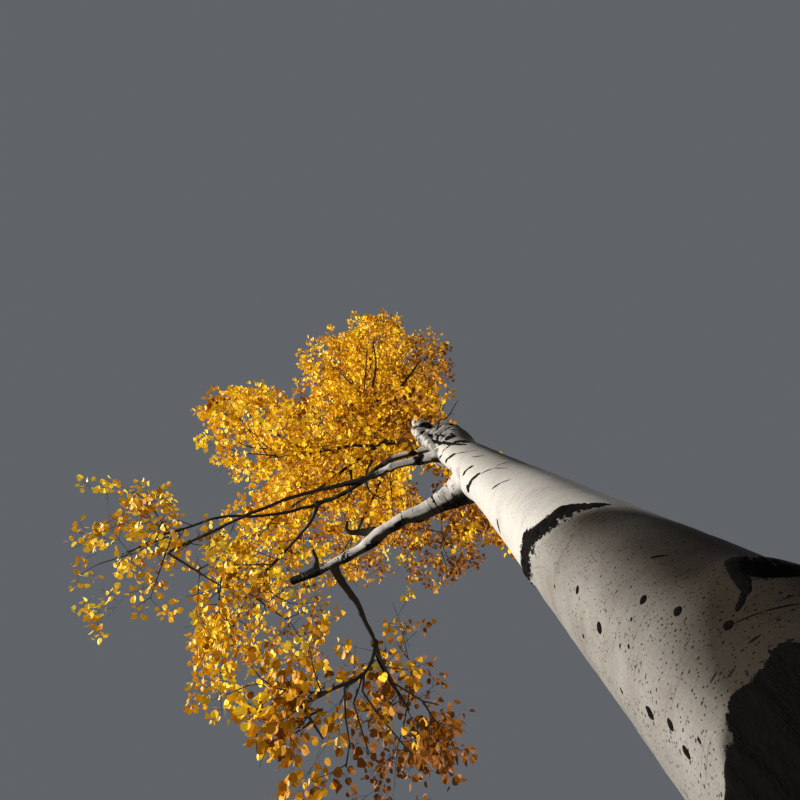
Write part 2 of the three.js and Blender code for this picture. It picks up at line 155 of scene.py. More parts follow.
Mass = namedtuple("Mass", "name limb middle half turn tone fullness stem_height", defaults=[None])
FAR_SIDE = 42.0
MASSES = [
    Mass("far_left_foliage", "twin_bough", (-2.15, 0.48, 3.74), (0.4, 0.48, 0.52), 0, 0.78, 0.36),
    Mass("left_foliage", "long_bough", (-1.66, 0.69, 3.86), (0.31, 0.35, 0.5), 0, 0.72, 0.43),
    Mass("centre_left_foliage", "drop_bough", (-1.345, 1.04, 4.22), (0.39, 0.45, 0.56), 0, 0.66, 0.38),
    Mass("low_foliage", "hanging_bough", (-0.91, 0.965, 2.86), (0.43, 0.43, 0.4), 0, 0.62, 0.22),
    Mass("low_right_foliage", "low_right_bough", (-0.61, 1.18, 3.53), (0.31, 0.64, 0.5), 0, 0.2, 0.19),
    Mass("far_foliage", "far_bough", (0.767, 0.775, 4.52), (0.7, 0.37, 0.68), FAR_SIDE, 0.4, 1.0),
    Mass("far_high_foliage", "far_high_bough", (0.903, 0.897, 5.85), (0.64, 0.39, 0.74), FAR_SIDE, 0.5, 1.0),
    Mass("far_top_foliage", "far_top_bough", (0.735, 0.744, 7.2), (0.54, 0.36, 0.72), FAR_SIDE, 0.55, 1.0),
    Mass("mid_left_foliage", "upper_left_bough", (-1.7, -0.075, 4.9), (0.5, 0.46, 0.66), 0, 0.7, 0.57),
    Mass("middle_foliage", "middle_bough", (-1.125, 0.205, 5.3), (0.5, 0.45, 0.7), 0, 0.52, 0.46),
    Mass("left_high_foliage", "left_high_bough", (-1.8, 0.77, 5.5), (0.46, 0.45, 0.68), 0, 0.66, 0.54),
    Mass("centre_high_foliage", "centre_high_bough", (-1.06, 0.92, 5.68), (0.44, 0.43, 0.7), 0, 0.54, 0.4),
    Mass("right_foliage", "right_bough", (-0.24, 1.03, 5.85), (0.48, 0.47, 0.74), 0, 0.22, 0.33),
    Mass("crown_foliage_1", "crown_bough_1", (-1.29, -0.69, 6.5), (0.46, 0.45, 0.8), 0, 0.62, 0.5),
    Mass("crown_foliage_2", "crown_bough_2", (-0.9, -1.02, 6.92), (0.44, 0.4, 0.78), 0, 0.6, 0.5),
    Mass("crown_foliage_3", "crown_bough_3", (-0.44, -0.7, 6.87), (0.43, 0.46, 0.8), 0, 0.38, 0.5),
    Mass("crown_foliage_4", "crown_bough_4", (-0.74, 0.04, 6.75), (0.46, 0.45, 0.8), 0, 0.42, 0.5),
    Mass("crown_foliage_5", "crown_bough_5", (-1.48, -0.08, 6.3), (0.47, 0.45, 0.72), 0, 0.62, 0.5),
    Mass("crown_foliage_6", "crown_bough_6", (-1.48, 0.56, 6.82), (0.46, 0.45, 0.72), 0, 0.6, 0.5),
    Mass("crown_foliage_7", "crown_bough_7", (-0.73, 0.93, 6.88), (0.44, 0.43, 0.72), 0, 0.5, 0.5),
]
TIER_MIDDLE, TIER_REACH, TIER_TURN, TIER_HALF = (-0.99, -0.6, 8.05), 0.43, 30.0, (0.49, 0.49, 0.82)
TIER_STEM_DROP, TIER_STAGGER = 0.76, 0.15
TIER_TONES, TIER_FULLNESS = (0.5, 0.6, 0.6), 0.78
for tier_index, tier_tone in enumerate(TIER_TONES):
    heading = math.radians(TIER_TURN + 120 * tier_index)
    tier_middle = (TIER_MIDDLE[0] + TIER_REACH * math.cos(heading),
                   TIER_MIDDLE[1] + TIER_REACH * math.sin(heading), TIER_MIDDLE[2])
    stem_height = TIER_MIDDLE[2] - TIER_STEM_DROP + TIER_STAGGER * tier_index
    MASSES.append(Mass(f"upper_foliage_{tier_index + 1}", "trunk", tier_middle, TIER_HALF, 0, tier_tone,
                       TIER_FULLNESS, stem_height))
MASSES.append(Mass("top_foliage", "trunk", (-1.055, -0.715, 9.12), (0.41, 0.41, 0.72), 0, 0.62, 1.0))

# Bare side twigs: a course, the radius at its base and the radius at its tip. The first two are stubs that
# the low bough swells round.

SIDE_TWIGS = [
    ([(-0.7, 0.14, 2.9), (-0.763, 0.143, 2.915), (-0.814, 0.143, 2.93),
      (-0.82, 0.106, 2.95)], 0.014, 0.006),
    ([(-0.947, 0.29, 2.93), (-0.947, 0.261, 2.94), (-0.967, 0.23, 2.96)], 0.009, 0.006),
    ([(-0.638, -0.065, 3.42), (-0.652, 0.002, 3.4), (-0.636, 0.133, 3.36)], 0.004, 0.0018),
    ([(-0.863, 0.03, 3.46), (-0.863, 0.054, 3.47), (-0.87, 0.114, 3.44)], 0.006, 0.003),
    ([(-0.415, -0.24, 3.45), (-0.401, -0.293, 3.45), (-0.366, -0.304, 3.44), (-0.32, -0.368, 3.5),
      (-0.303, -0.393, 3.52)], 0.0045, 0.0012),
    ([(-0.372, -0.302, 3.445), (-0.345, -0.325, 3.43), (-0.33, -0.322, 3.42)], 0.002, 0.001),
    ([(-0.736, -0.296, 4.92), (-0.834, -0.332, 5.02), (-0.985, -0.467, 5.22),
      (-1.137, -0.608, 5.47)], 0.015, 0.0055),
    ([(-0.885, -0.379, 5.07), (-0.911, -0.467, 5.22), (-0.908, -0.64, 5.42),
      (-0.913, -0.854, 5.62)], 0.009, 0.004),
    ([(-0.73, -0.31, 4.97), (-0.832, -0.434, 5.12), (-0.82, -0.655, 5.37),
      (-0.859, -0.881, 5.62)], 0.014, 0.005),
    ([(-0.707, -0.334, 4.97), (-0.599, -0.484, 5.22), (-0.505, -0.615, 5.42),
      (-0.432, -0.717, 5.57)], 0.014, 0.005),
    ([(-1.034, -0.018, 4.57), (-1.197, -0.034, 4.62), (-1.366, -0.039, 4.72), (-1.645, -0.176, 4.87),
      (-1.903, -0.34, 5.02)], 0.014, 0.005),
    ([(-1.366, -0.039, 4.72), (-1.576, -0.012, 4.77), (-1.768, -0.029, 4.82),
      (-1.934, -0.097, 4.92)], 0.007, 0.0035),
    ([(-0.788, 0.003, 4.22), (-0.827, 0.106, 4.22), (-0.802, 0.212, 4.24),
      (-0.715, 0.279, 4.32)], 0.008, 0.004),
    ([(-0.92, 0.053, 4.12), (-0.908, 0.178, 4.12), (-0.972, 0.263, 4.14)], 0.008, 0.004),
]

# Pale knobs where old boughs broke off the far side of the whorl: a course, and its radius at both ends.

KNOBS = [
    ([(-0.38, -0.165, 3.45), (-0.49, -0.22, 3.54), (-0.535, -0.235, 3.61)], 0.05, 0.024),
    ([(-0.38, -0.18, 3.5), (-0.49, -0.255, 3.59), (-0.53, -0.272, 3.66)], 0.05, 0.022),
    ([(-0.39, -0.155, 3.43), (-0.475, -0.185, 3.48), (-0.515, -0.2, 3.52)], 0.045, 0.024),
]

# Side twigs that feed a mass: its name, and courses that its sprays may grow from.

FEEDERS = {
    "far_left_foliage": [
        [(-1.9, 0.375, 3.735), (-2.035, 0.423, 3.7), (-2.129, 0.454, 3.69), (-2.167, 0.503, 3.69)],
        [(-1.885, 0.38, 3.73), (-1.936, 0.555, 3.7), (-1.986, 0.706, 3.69)],
        [(-1.9, 0.36, 3.74), (-1.953, 0.279, 3.74), (-2.007, 0.21, 3.76), (-2.106, 0.135, 3.78)],
    ],
    "centre_left_foliage": [
        [(-1.37, 0.6, 3.96), (-1.573, 0.591, 3.92), (-1.705, 0.543, 3.98)],
        [(-1.44, 0.67, 3.99), (-1.419, 0.732, 3.96), (-1.344, 0.79, 3.95), (-1.267, 0.843, 3.98)],
    ],
    "low_foliage": [
        [(-0.77, 0.71, 2.83), (-0.816, 0.726, 2.8), (-0.81, 0.834, 2.78), (-0.789, 0.941, 2.76)],
        [(-0.745, 0.69, 2.84), (-0.785, 0.81, 2.84), (-0.725, 1.005, 2.84)],
        [(-0.74, 0.68, 2.85), (-0.752, 0.784, 2.88), (-0.675, 0.887, 2.87), (-0.555, 1.025, 2.86)],
    ],
    "low_right_foliage": [
        [(-0.705, 0.61, 2.9), (-0.628, 0.784, 2.95), (-0.5, 0.923, 3.06), (-0.424, 1.005, 3.18)],
    ],
    "middle_foliage": [
        [(-0.66, -0.25, 4.4), (-0.811, -0.2, 4.62), (-0.948, -0.12, 4.8), (-1.077, -0.05, 4.95)],
    ],
}

# Marks in the bark: each is a short stroke from one height and side to another, with half its thickness.
# One of them, under the whorl's rim, is no mark but a painted shadow.

MARKS = [
    (1.55, -165.6, 1.552, -164.0, 0.0065), (1.45, -172.3, 1.454, -171.4, 0.0095),
    (1.376, -143.8, 1.379, -142.2, 0.0065), (1.308, -138.2, 1.311, -136.6, 0.0065),
    (1.234, -130.7, 1.237, -129.2, 0.0062), (1.382, -169.3, 1.383, -169, 0.0032),
    (1.36, -165.8, 1.361, -165.5, 0.0034), (1.288, 176.8, 1.298, 177.4, 0.0062),
    (1.242, -177.4, 1.249, -176.9, 0.0052), (1.208, 179.8, 1.216, 180.3, 0.0052),
    (1.19, -171.4, 1.194, -171.0, 0.0025), (1.514, 171.6, 1.516, 172, 0.004),
    (1.374, 169.4, 1.378, 169.8, 0.004), (1.376, -154.6, 1.377, -154, 0.003),
    (1.439, -121.8, 1.425, -116, 0.0036), (1.65, -178.5, 1.656, -177.5, 0.003),
    (2.15, 176, 2.138, 164, 0.01), (3.446, -158, 3.436, -150, 0.024), (3.28, -122, 3.264, -114, 0.026),
    (3.42, -157, 3.31, -151.5, 0.014), (3.33, -152, 3.23, -137.5, 0.011), (3.24, -139, 3.1, -125, 0.013),
    # The second stroke below, from 3.16 m at -118 degrees, is a painted shadow under the whorl's rim.
    (3.11, -126, 2.98, -112, 0.009), (3.16, -118, 3.03, -96, 0.02), (3.42, -138, 3.345, -128, 0.008),
    (3.35, -129, 3.33, -110, 0.009), (3.34, -111, 3.26, -101, 0.007), (3.5, -127, 3.45, -108, 0.008),
    (3.45, -109, 3.44, -88, 0.008), (3.41, -127, 3.383, -105, 0.0045), (3.385, -106, 3.37, -88, 0.0045),
    (3.56, -175, 3.54, -150, 0.012), (3.156, -140, 3.2, -153, 0.0055), (3.205, -155, 3.25, -175, 0.005),
    (3.25, -178, 3.3, -196, 0.005), (2.97, -149, 3.08, -172, 0.0095), (3.085, -173, 3.19, -198, 0.008),
    (3.0, -188, 3.07, -210, 0.006), (2.615, -144, 2.675, -159, 0.0065), (2.672, -158.5, 2.71, -174, 0.0085),
    (2.49, -148, 2.545, -165, 0.009), (2.54, -164, 2.6, -186, 0.0125), (2.6, -187, 2.65, -198, 0.016),
    (2.963, -147.5, 2.83, -125, 0.0028), (2.824, -124.5, 2.763, -105, 0.0022),
    (2.474, -147, 2.414, -127, 0.0036), (2.414, -126.5, 2.317, -113.5, 0.0026),
    (2.274, -153.5, 2.238, -140, 0.0045), (2.24, -140, 2.192, -127.5, 0.0028),
    (2.72, -131, 2.625, -113.5, 0.0032), (2.42, -120, 2.4, -98, 0.004),
    (1.322, -103.4, 1.284, -110.4, 0.011), (1.286, -109.6, 1.262, -113.5, 0.009),
    (1.264, -113, 1.246, -122.5, 0.0045), (1.336, -98, 1.322, -104.5, 0.013),
    (1.211, -106, 1.222, -117.5, 0.0018), (1.222, -117.5, 1.234, -130, 0.0014),
    (4.3, -100, 4.28, -80, 0.009), (2.05, 40, 2.04, 62, 0.012), (2.5, 10, 2.52, -14, 0.01),
    (3.0, 60, 2.98, 84, 0.011), (1.75, 88, 1.76, 104, 0.011), (1.62, 20, 1.61, 30, 0.009),
    (2.85, -40, 2.83, -62, 0.01), (2.2, -60, 2.19, -44, 0.007), (3.7, 10, 3.69, -20, 0.009),
    (4.1, 120, 4.08, 150, 0.009), (1.42, 120, 1.43, 124, 0.009), (1.9, -20, 1.91, -14, 0.008),
]

# Old branch scars: height, side, half width and half height.

EYES = [(1.29, -94.0, 0.04, 0.036), (2.36, 70.0, 0.034, 0.026), (3.02, -8.0, 0.03, 0.022),
        (1.86, 24.0, 0.03, 0.024)]

# Clear gaps beside and between the masses, as ellipses in the photograph's pixels: middle and half sizes.
# The trunk's edge is a start and a slope there, and all is clear past it.

CLEAR_GAPS = [(483, 634, 47, 60), (192, 526, 8, 32), (428, 478, 15, 12), (182, 800, 78, 82),
              (522, 772, 38, 46), (46, 630, 26, 40), (371, 651, 13, 16)]
TRUNK_EDGE = (453, 436, 0.46)

# Leafy sprays along the boughs: from which share of the bough on, and their shortest and longest lengths.

LIMB_SPRAYS = {
    "low_bough": (1.0, 0, 0), "hanging_bough": (0.9, 0.1, 0.2), "long_bough": (0.86, 0.08, 0.16),
    "twin_bough": (0.86, 0.08, 0.16), "low_right_bough": (0.3, 0.1, 0.26), "drop_bough": (0.4, 0.12, 0.28),
}
OTHER_LIMB_SPRAYS = (0.3, 0.16, 0.4)

# Free twigs that carry leaves past the ends of their boughs, each a course.

FREE_TWIGS = [
    [(-1.6, 0.6, 3.72), (-1.66, 0.82, 3.82), (-1.74, 1.08, 3.92)],
    [(-1.55, 0.85, 3.95), (-1.64, 1.06, 3.98), (-1.7, 1.34, 3.98)],
    [(-0.89, 0.735, 2.78), (-1.02, 0.74, 2.8), (-1.18, 0.72, 2.82)],
    [(-0.9, 0.8, 2.78), (-1.05, 0.9, 2.84), (-1.22, 0.98, 2.9)],
    [(-0.5, 0.923, 3.06), (-0.44, 1.06, 3.12), (-0.42, 1.2, 3.2)],
    [(-1.668, -0.068, 4.9), (-1.873, -0.24, 4.82), (-1.99, -0.32, 4.82)],
    [(-1.84, -0.2, 4.83), (-1.9, -0.27, 4.84), (-1.91, -0.33, 4.86)],
]


# Courses and noise


def unit(vectors):
    """Each vector divided by its own length."""
    return vectors / np.maximum(np.linalg.norm(vectors, axis=-1, keepdims=True), 1e-12)


class Course:
    """A smooth curve through points. Between two of them it is the cubic that meets both, and whose slope
    at each is half the step between that point's neighbours; past an end the next point is its mirror."""

    def __init__(self, points):
        inner = np.array(points, float)
        self.points = np.vstack([2 * inner[0] - inner[1], inner, 2 * inner[-1] - inner[-2]])
        self.spans = len(inner) - 1
        shares = np.linspace(0, 1, 401)
        steps = np.linalg.norm(np.diff(self.at(shares), axis=0), axis=1)
        self.length = steps.sum()

    def at(self, share):
        """The places at shares of the course from 0 to 1, each span between two points an equal share."""
        place = np.asarray(share, float) * self.spans
        index = np.clip(place.astype(int), 0, self.spans - 1)
        w = (place - index)[..., None]
        before, start, end, after = (self.points[index + k] for k in range(4))
        leave, arrive = 0.5 * (end - before), 0.5 * (after - start)
        return (start + leave * w + (3 * (end - start) - 2 * leave - arrive) * w**2
                + (2 * (start - end) + leave + arrive) * w**3)

    def ahead(self, share):
        """The direction of the course at each share, from a hair before it to a hair past it."""
        share = np.asarray(share, float)
        low, high = np.clip(share - 1e-4, 0, 1), np.clip(share + 1e-4, 0, 1)
        return unit(self.at(high) - self.at(low))


LATTICE, LATTICE_SHIFT = 32, 37.3
lattice_values = np.random.default_rng(7).uniform(-1, 1, (LATTICE,) * 3)


def noise(points, size):
    """Smooth noise from -1 to 1: random values at the corners of cubes of the given size, blended inside
    each cube by the smooth step 3t^2 - 2t^3 along each axis."""
    scaled = points / np.asarray(size) + LATTICE_SHIFT
    corner = np.floor(scaled).astype(int)
    t = scaled - corner
    t = t * t * (3 - 2 * t)
    total = np.zeros(points.shape[:-1])
    for dx in (0, 1):
        for dy in (0, 1):
            for dz in (0, 1):
                weight = ((t[..., 0] if dx else 1 - t[..., 0]) * (t[..., 1] if dy else 1 - t[..., 1])
                          * (t[..., 2] if dz else 1 - t[..., 2]))
                total += weight * lattice_values[(corner[..., 0] + dx) % LATTICE,
                                                 (corner[..., 1] + dy) % LATTICE,
                                                 (corner[..., 2] + dz) % LATTICE]
    return total


def smooth_step(value, low, high):
    """0 before low, 1 past high, and 3t^2 - 2t^3 between them. For a step down, high is the smaller."""
    t = np.clip((value - low) / (high - low), 0, 1)
    return t * t * (3 - 2 * t)


def bell(distance, spread):
    """A bell curve: e to the power of minus the square of the distance over the spread."""
    return np.exp(-((distance / spread) ** 2))


# Meshes from arrays


def put_mesh(name, points, triangles, materials, material_of=None, smooth=False, fields=None):
    """A mesh object of triangles, with one number at each point for each field."""
    mesh = bpy.data.meshes.new(name)
    mesh.vertices.add(len(points))
    mesh.vertices.foreach_set("co", np.ascontiguousarray(points, np.float32).ravel())
    mesh.loops.add(triangles.size)
    mesh.loops.foreach_set("vertex_index", triangles.astype(np.int32).ravel())
    mesh.polygons.add(len(triangles))
    mesh.polygons.foreach_set("loop_start", np.arange(len(triangles), dtype=np.int32) * 3)
    mesh.polygons.foreach_set("use_smooth", np.full(len(triangles), smooth))
    for material in materials:
        mesh.materials.append(material)
    if material_of is not None:
        mesh.polygons.foreach_set("material_index", material_of.astype(np.int32))
    for field, values in (fields or {}).items():
        layer = mesh.attributes.new(field, "FLOAT", "POINT")
        layer.data.foreach_set("value", np.asarray(values, np.float32).ravel())
    mesh.update(calc_edges=True)
    piece = bpy.data.objects.new(name, mesh)
    bpy.context.scene.collection.objects.link(piece)
    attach(piece, "root")
    return piece


def closed_tube_faces(rings, sides):
    """Triangles of a tube whose points run ring by ring, then a pole at its start and one at its end."""
    ring = np.arange(rings - 1)[:, None] * sides
    side = np.arange(sides)[None, :]
    a, b = ring + side, ring + (side + 1) % sides
    walls = np.stack([np.stack([a, b, b + sides], -1), np.stack([a, b + sides, a + sides], -1)], 2)
    around = np.arange(sides)
    last = (rings - 1) * sides
    start = np.stack([np.full(sides, rings * sides), (around + 1) % sides, around], -1)
    end = np.stack([np.full(sides, rings * sides + 1), last + around, last + (around + 1) % sides], -1)
    return np.vstack([walls.reshape(-1, 3), start, end])


def joined(parts):
    """Points and triangles of several meshes as one, each later mesh's numbers raised past the earlier."""
    counts = np.cumsum([0] + [len(points) for points, _ in parts[:-1]])
    return (np.vstack([points for points, _ in parts]),
            np.vstack([triangles + count for (_, triangles), count in zip(parts, counts)]))


def level_across(directions):
    """A level unit vector square to each direction, or, where that is nearly upright, one square to +X."""
    helper = np.where(np.abs(directions[:, 2:]) > 0.9, [[1.0, 0, 0]], [[0, 0, 1.0]])
    return unit(np.cross(helper, directions))


def tubes(paths, radii, sides):
    """Round twigs along paths, one row of places each: at each place a ring of the given radius lies across
    the path, its first spoke square to the path's chord."""
    count, rings = radii.shape
    ahead = unit(np.gradient(paths, axis=1))
    level = level_across(unit(paths[:, -1] - paths[:, 0]))[:, None, :]
    side = unit(level - (level * ahead).sum(-1, keepdims=True) * ahead)
    across = np.cross(ahead, side)
    angle = np.arange(sides) * FULL_TURN / sides
    spokes = side[:, :, None] * np.cos(angle)[:, None] + across[:, :, None] * np.sin(angle)[:, None]
    walls = paths[:, :, None] + spokes * radii[:, :, None, None]
    points = np.concatenate([walls.reshape(count, -1, 3), paths[:, :1], paths[:, -1:]], 1)
    faces = closed_tube_faces(rings, sides)
    triangles = faces[None] + (np.arange(count) * points.shape[1])[:, None, None]
    return points.reshape(-1, 3), triangles.reshape(-1, 3)


SPIKE_FACES = np.array([(0, 1, 3), (1, 2, 3), (2, 0, 3), (2, 1, 0)])


def spikes(starts, ends, radius):
    """Thin three-sided twigs that run to a point: a triangle across the start, and an apex at the end."""
    ahead = unit(ends - starts)
    side = level_across(ahead)
    across = np.cross(ahead, side)
    angle = np.arange(3) * FULL_TURN / 3
    feet = starts[:, None] + radius * (side[:, None] * np.cos(angle)[:, None]
                                       + across[:, None] * np.sin(angle)[:, None])
    points = np.concatenate([feet, ends[:, None]], 1)
    triangles = SPIKE_FACES[None] + np.arange(len(starts))[:, None, None] * 4
    return points.reshape(-1, 3), triangles.reshape(-1, 3)


# Materials


class Graph:
    """Short words for building a tree of shader nodes."""

    def __init__(self, tree):
        self.tree = tree

    def node(self, kind, **settings):
        """A new node with its settings."""
        made = self.tree.nodes.new(kind)
        for name, value in settings.items():
            setattr(made, name, value)
        return made

    def feed(self, socket, value):
        """Links a socket to another, or sets it to a plain value."""
        if isinstance(value, bpy.types.NodeSocket):
            self.tree.links.new(value, socket)
        else:
            socket.default_value = value

    def math(self, operation, a, b, clamp=False):
        """A sum, a product or the like of two values."""
        made = self.node("ShaderNodeMath", operation=operation, use_clamp=clamp)
        self.feed(made.inputs[0], a)
        self.feed(made.inputs[1], b)
        return made.outputs[0]

    def mix(self, share, a, b, blend="MIX"):
        """One colour turned into another by a share, or multiplied by it."""
        made = self.node("ShaderNodeMix", data_type="RGBA", blend_type=blend)
        for socket, value in zip((made.inputs[0], made.inputs[6], made.inputs[7]), (share, a, b)):
            self.feed(socket, value)
        return made.outputs[2]

    def span(self, value, low, high, to_low=0.0, to_high=1.0):
        """A value moved evenly from one span to another, and held at the ends."""
        made = self.node("ShaderNodeMapRange")
        for socket, item in zip(made.inputs[:5], (value, low, high, to_low, to_high)):
            self.feed(socket, item)
        return made.outputs[0]

    def stretched(self, vector, scale):
        """A place scaled along each axis."""
        made = self.node("ShaderNodeMapping")
        self.feed(made.inputs["Vector"], vector)
        made.inputs["Scale"].default_value = scale
        return made.outputs[0]

    def noise(self, vector, scale, detail, rough):
        """Cloudy noise, mostly near a half."""
        made = self.node("ShaderNodeTexNoise")
        self.feed(made.inputs["Vector"], vector)
        made.inputs["Scale"].default_value = scale
        made.inputs["Detail"].default_value = detail
        made.inputs["Roughness"].default_value = rough
        return made.outputs["Fac"]

    def cells(self, vector, scale):
        """The distance to the nearest of scattered points, and that point's own colour."""
        made = self.node("ShaderNodeTexVoronoi")
        self.feed(made.inputs["Vector"], vector)
        made.inputs["Scale"].default_value = scale
        return made.outputs["Distance"], made.outputs["Color"]


def colour(red, green, blue):
    """A colour that lets nothing through."""
    return (red, green, blue, 1.0)


BARK_INPUTS = [
    ("Place", "NodeSocketVector", None), ("Pale", "NodeSocketColor", colour(0.8, 0.75, 0.66)),
    ("Dusky", "NodeSocketColor", colour(0.4, 0.37, 0.33)), ("Dusk", "NodeSocketFloat", 0.0),
    ("Shade", "NodeSocketFloat", 0.0), ("Scar", "NodeSocketFloat", -1.0), ("Flecks", "NodeSocketFloat", 0.5),
]
BARK_OUTPUTS = [
    ("Color", "NodeSocketColor"), ("Roughness", "NodeSocketFloat"), ("Height", "NodeSocketFloat"),
]
STAIN, GRAIN, LINE = colour(0.72, 0.62, 0.5), colour(0.62, 0.6, 0.58), colour(0.4, 0.35, 0.3)
SPECK, CORK, SHADOW = colour(0.022, 0.018, 0.015), colour(0.004, 0.0035, 0.003), colour(0.09, 0.073, 0.054)
CORK_RIDGE, GREY_RIDGE = colour(0.024, 0.021, 0.018), colour(0.16, 0.14, 0.12)

# Flecks in three sizes: how many to the metre, their stretch, the fewest flecks at which they start, and
# the largest share of a cell that one fills.

FLECK_SIZES = [(170.0, (0.9, 0.9, 1.1), -0.15, 0.3), (110.0, (0.7, 0.7, 1.2), 0.1, 0.28),
               (75.0, (0.3, 0.3, 1.6), 0.5, 0.26)]


def make_specks(g, place, flecks):
    """Dark flecks: scattered cells, each filled from its middle as Flecks rises above its own number."""
    specks = []
    for scale, stretch, least, most in FLECK_SIZES:
        distance, tone = g.cells(g.stretched(place, stretch), scale)
        number = g.node("ShaderNodeSeparateColor")
        g.feed(number.inputs[0], tone)
        reach = g.math("SUBTRACT", g.math("SUBTRACT", flecks, number.outputs[0]), least)
        reach = g.math("MULTIPLY", g.math("MINIMUM", reach, most), 0.75)
        specks.append(g.span(g.math("SUBTRACT", reach, distance), 0.0, 0.05))
    return g.math("MAXIMUM", g.math("MAXIMUM", specks[0], specks[1]), specks[2])


def make_bark_group():
    """Bark shared by the trunk and the boughs: a pale and a dusky skin, the dusky one also painted shade in
    places, flecks, level dashes, fine level lines, black corky marks with ragged edges where Scar rises
    above nothing, which are painted shade in some hollows and on sides away from the sun, and last painted
    shade towards the shadow colour as Shade rises."""
    tree = bpy.data.node_groups.new("bark_pattern", "ShaderNodeTree")
    for name, kind, value in BARK_INPUTS:
        socket = tree.interface.new_socket(name, in_out="INPUT", socket_type=kind)
        if value is not None:
            socket.default_value = value
    for name, kind in BARK_OUTPUTS:
        tree.interface.new_socket(name, in_out="OUTPUT", socket_type=kind)
    g = Graph(tree)
    given = g.node("NodeGroupInput").outputs
    place = given["Place"]

    cloud = g.noise(place, 7.0, detail=4.0, rough=0.6)
    cloudy = g.math("MULTIPLY", g.math("SUBTRACT", cloud, 0.5), 0.7)
    skin = g.mix(g.math("ADD", given["Dusk"], cloudy, clamp=True), given["Pale"], given["Dusky"])
    stain = g.span(g.noise(g.stretched(place, (3.0, 3.0, 9.0)), 3.0, detail=5.0, rough=0.65), 0.52, 0.75)
    skin = g.mix(g.math("MULTIPLY", stain, 0.5), skin, STAIN, "MULTIPLY")
    grain = g.noise(g.stretched(place, (1.0, 1.0, 2.2)), 260.0, detail=2.0, rough=0.6)
    skin = g.mix(g.span(grain, 0.38, 0.72, 0.0, 0.75), skin, GRAIN, "MULTIPLY")

    lines = g.noise(g.stretched(place, (2.5, 2.5, 130.0)), 1.6, detail=3.0, rough=0.6)
    lines = g.math("MULTIPLY", g.span(lines, 0.6, 0.72), g.span(cloud, 0.4, 0.62))
    skin = g.mix(g.math("MULTIPLY", lines, 0.7), skin, LINE, "MULTIPLY")
    specks = make_specks(g, place, given["Flecks"])
    skin = g.mix(g.math("MULTIPLY", specks, 0.92), skin, SPECK)

    frays = g.noise(g.stretched(place, (1.0, 1.0, 0.7)), 110.0, detail=4.0, rough=0.65)
    edge = g.math("ADD", given["Scar"], g.math("MULTIPLY", g.math("SUBTRACT", frays, 0.5), 1.8))
    scar = g.span(edge, 0.0, 0.12)
    cork = g.noise(g.stretched(place, (1.0, 1.0, 0.45)), 150.0, detail=5.0, rough=0.7)
    ridges = g.mix(g.span(given["Dusk"], 1.5, 3.0), CORK_RIDGE, GREY_RIDGE)
    skin = g.mix(scar, skin, g.mix(g.span(cork, 0.5, 0.78), CORK, ridges))
    # Painted shade: the skin is multiplied towards the shadow colour as the Shade field rises.
    skin = g.mix(given["Shade"], skin, SHADOW, "MULTIPLY")

    height = g.math("ADD", g.math("MULTIPLY", grain, 0.25), g.math("MULTIPLY", specks, -0.5))
    height = g.math("ADD", height, g.math("MULTIPLY", lines, -0.3))
    height = g.math("ADD", height, g.math("MULTIPLY", scar, g.span(cork, 0.2, 0.8, -1.6, 1.6)))
    rough = g.math("ADD", g.span(grain, 0.3, 0.8, 0.5, 0.68), g.math("MULTIPLY", scar, 0.28), clamp=True)
    leave = g.node("NodeGroupOutput").inputs
    for name, value in (("Color", skin), ("Roughness", rough), ("Height", height)):
        g.feed(leave[name], value)
    return tree


bark_group = make_bark_group()


def new_material(name):
    """A material with nodes, and its shader."""
    material = bpy.data.materials.new(name)
    material.use_nodes = True
    return material, material.node_tree.nodes["Principled BSDF"]


def finish_bark(g, shader, skin, rough, height, strength, distance):
    """Gives a bark's colour, roughness and bumps to its shader."""
    bump = g.node("ShaderNodeBump")
    bump.inputs["Strength"].default_value = strength
    bump.inputs["Distance"].default_value = distance
    g.feed(bump.inputs["Height"], height)
    g.feed(shader.inputs["Base Color"], skin)
    g.feed(shader.inputs["Roughness"], rough)
    g.feed(shader.inputs["Normal"], bump.outputs["Normal"])


def bark_material(name, pale, dusky, bump_distance):
    """The shared bark pattern over an object, whose fields tell where it is dusky, where it has painted
    shade, where it is scarred, which in places is painted shade too, and where it is flecked."""
    material, shader = new_material(name)
    g = Graph(material.node_tree)
    pattern = g.node("ShaderNodeGroup", node_tree=bark_group)
    g.feed(pattern.inputs["Place"], g.node("ShaderNodeTexCoord").outputs["Object"])
    pattern.inputs["Pale"].default_value = pale
    pattern.inputs["Dusky"].default_value = dusky
    for socket, field in (("Dusk", "dusk"), ("Shade", "shade"), ("Scar", "scar"), ("Flecks", "flecks")):
        g.feed(pattern.inputs[socket], g.node("ShaderNodeAttribute", attribute_name=field).outputs["Fac"])
    finish_bark(g, shader, *[pattern.outputs[name] for name, _ in BARK_OUTPUTS], 0.7, bump_distance)
    shader.inputs["Specular IOR Level"].default_value = 0.08
    return material


def twig_material():
    """Twig skin: dark brown with paler, drier patches and a fine grain."""
    material, shader = new_material("twig_bark")
    g = Graph(material.node_tree)
    place = g.node("ShaderNodeTexCoord").outputs["Object"]
    patches = g.noise(place, 14.0, detail=4.0, rough=0.6)
    grain = g.noise(place, 420.0, detail=2.0, rough=0.6)
    skin = g.mix(g.span(patches, 0.42, 0.68), colour(0.014, 0.01, 0.007), colour(0.07, 0.052, 0.037))
    skin = g.mix(g.span(grain, 0.4, 0.75, 0.0, 0.5), skin, colour(0.02, 0.014, 0.01))
    finish_bark(g, shader, skin, g.span(grain, 0.3, 0.8, 0.55, 0.8), grain, 0.4, 0.0006)
    return material


# Leaf tints from dark to light, dealt out by spray.

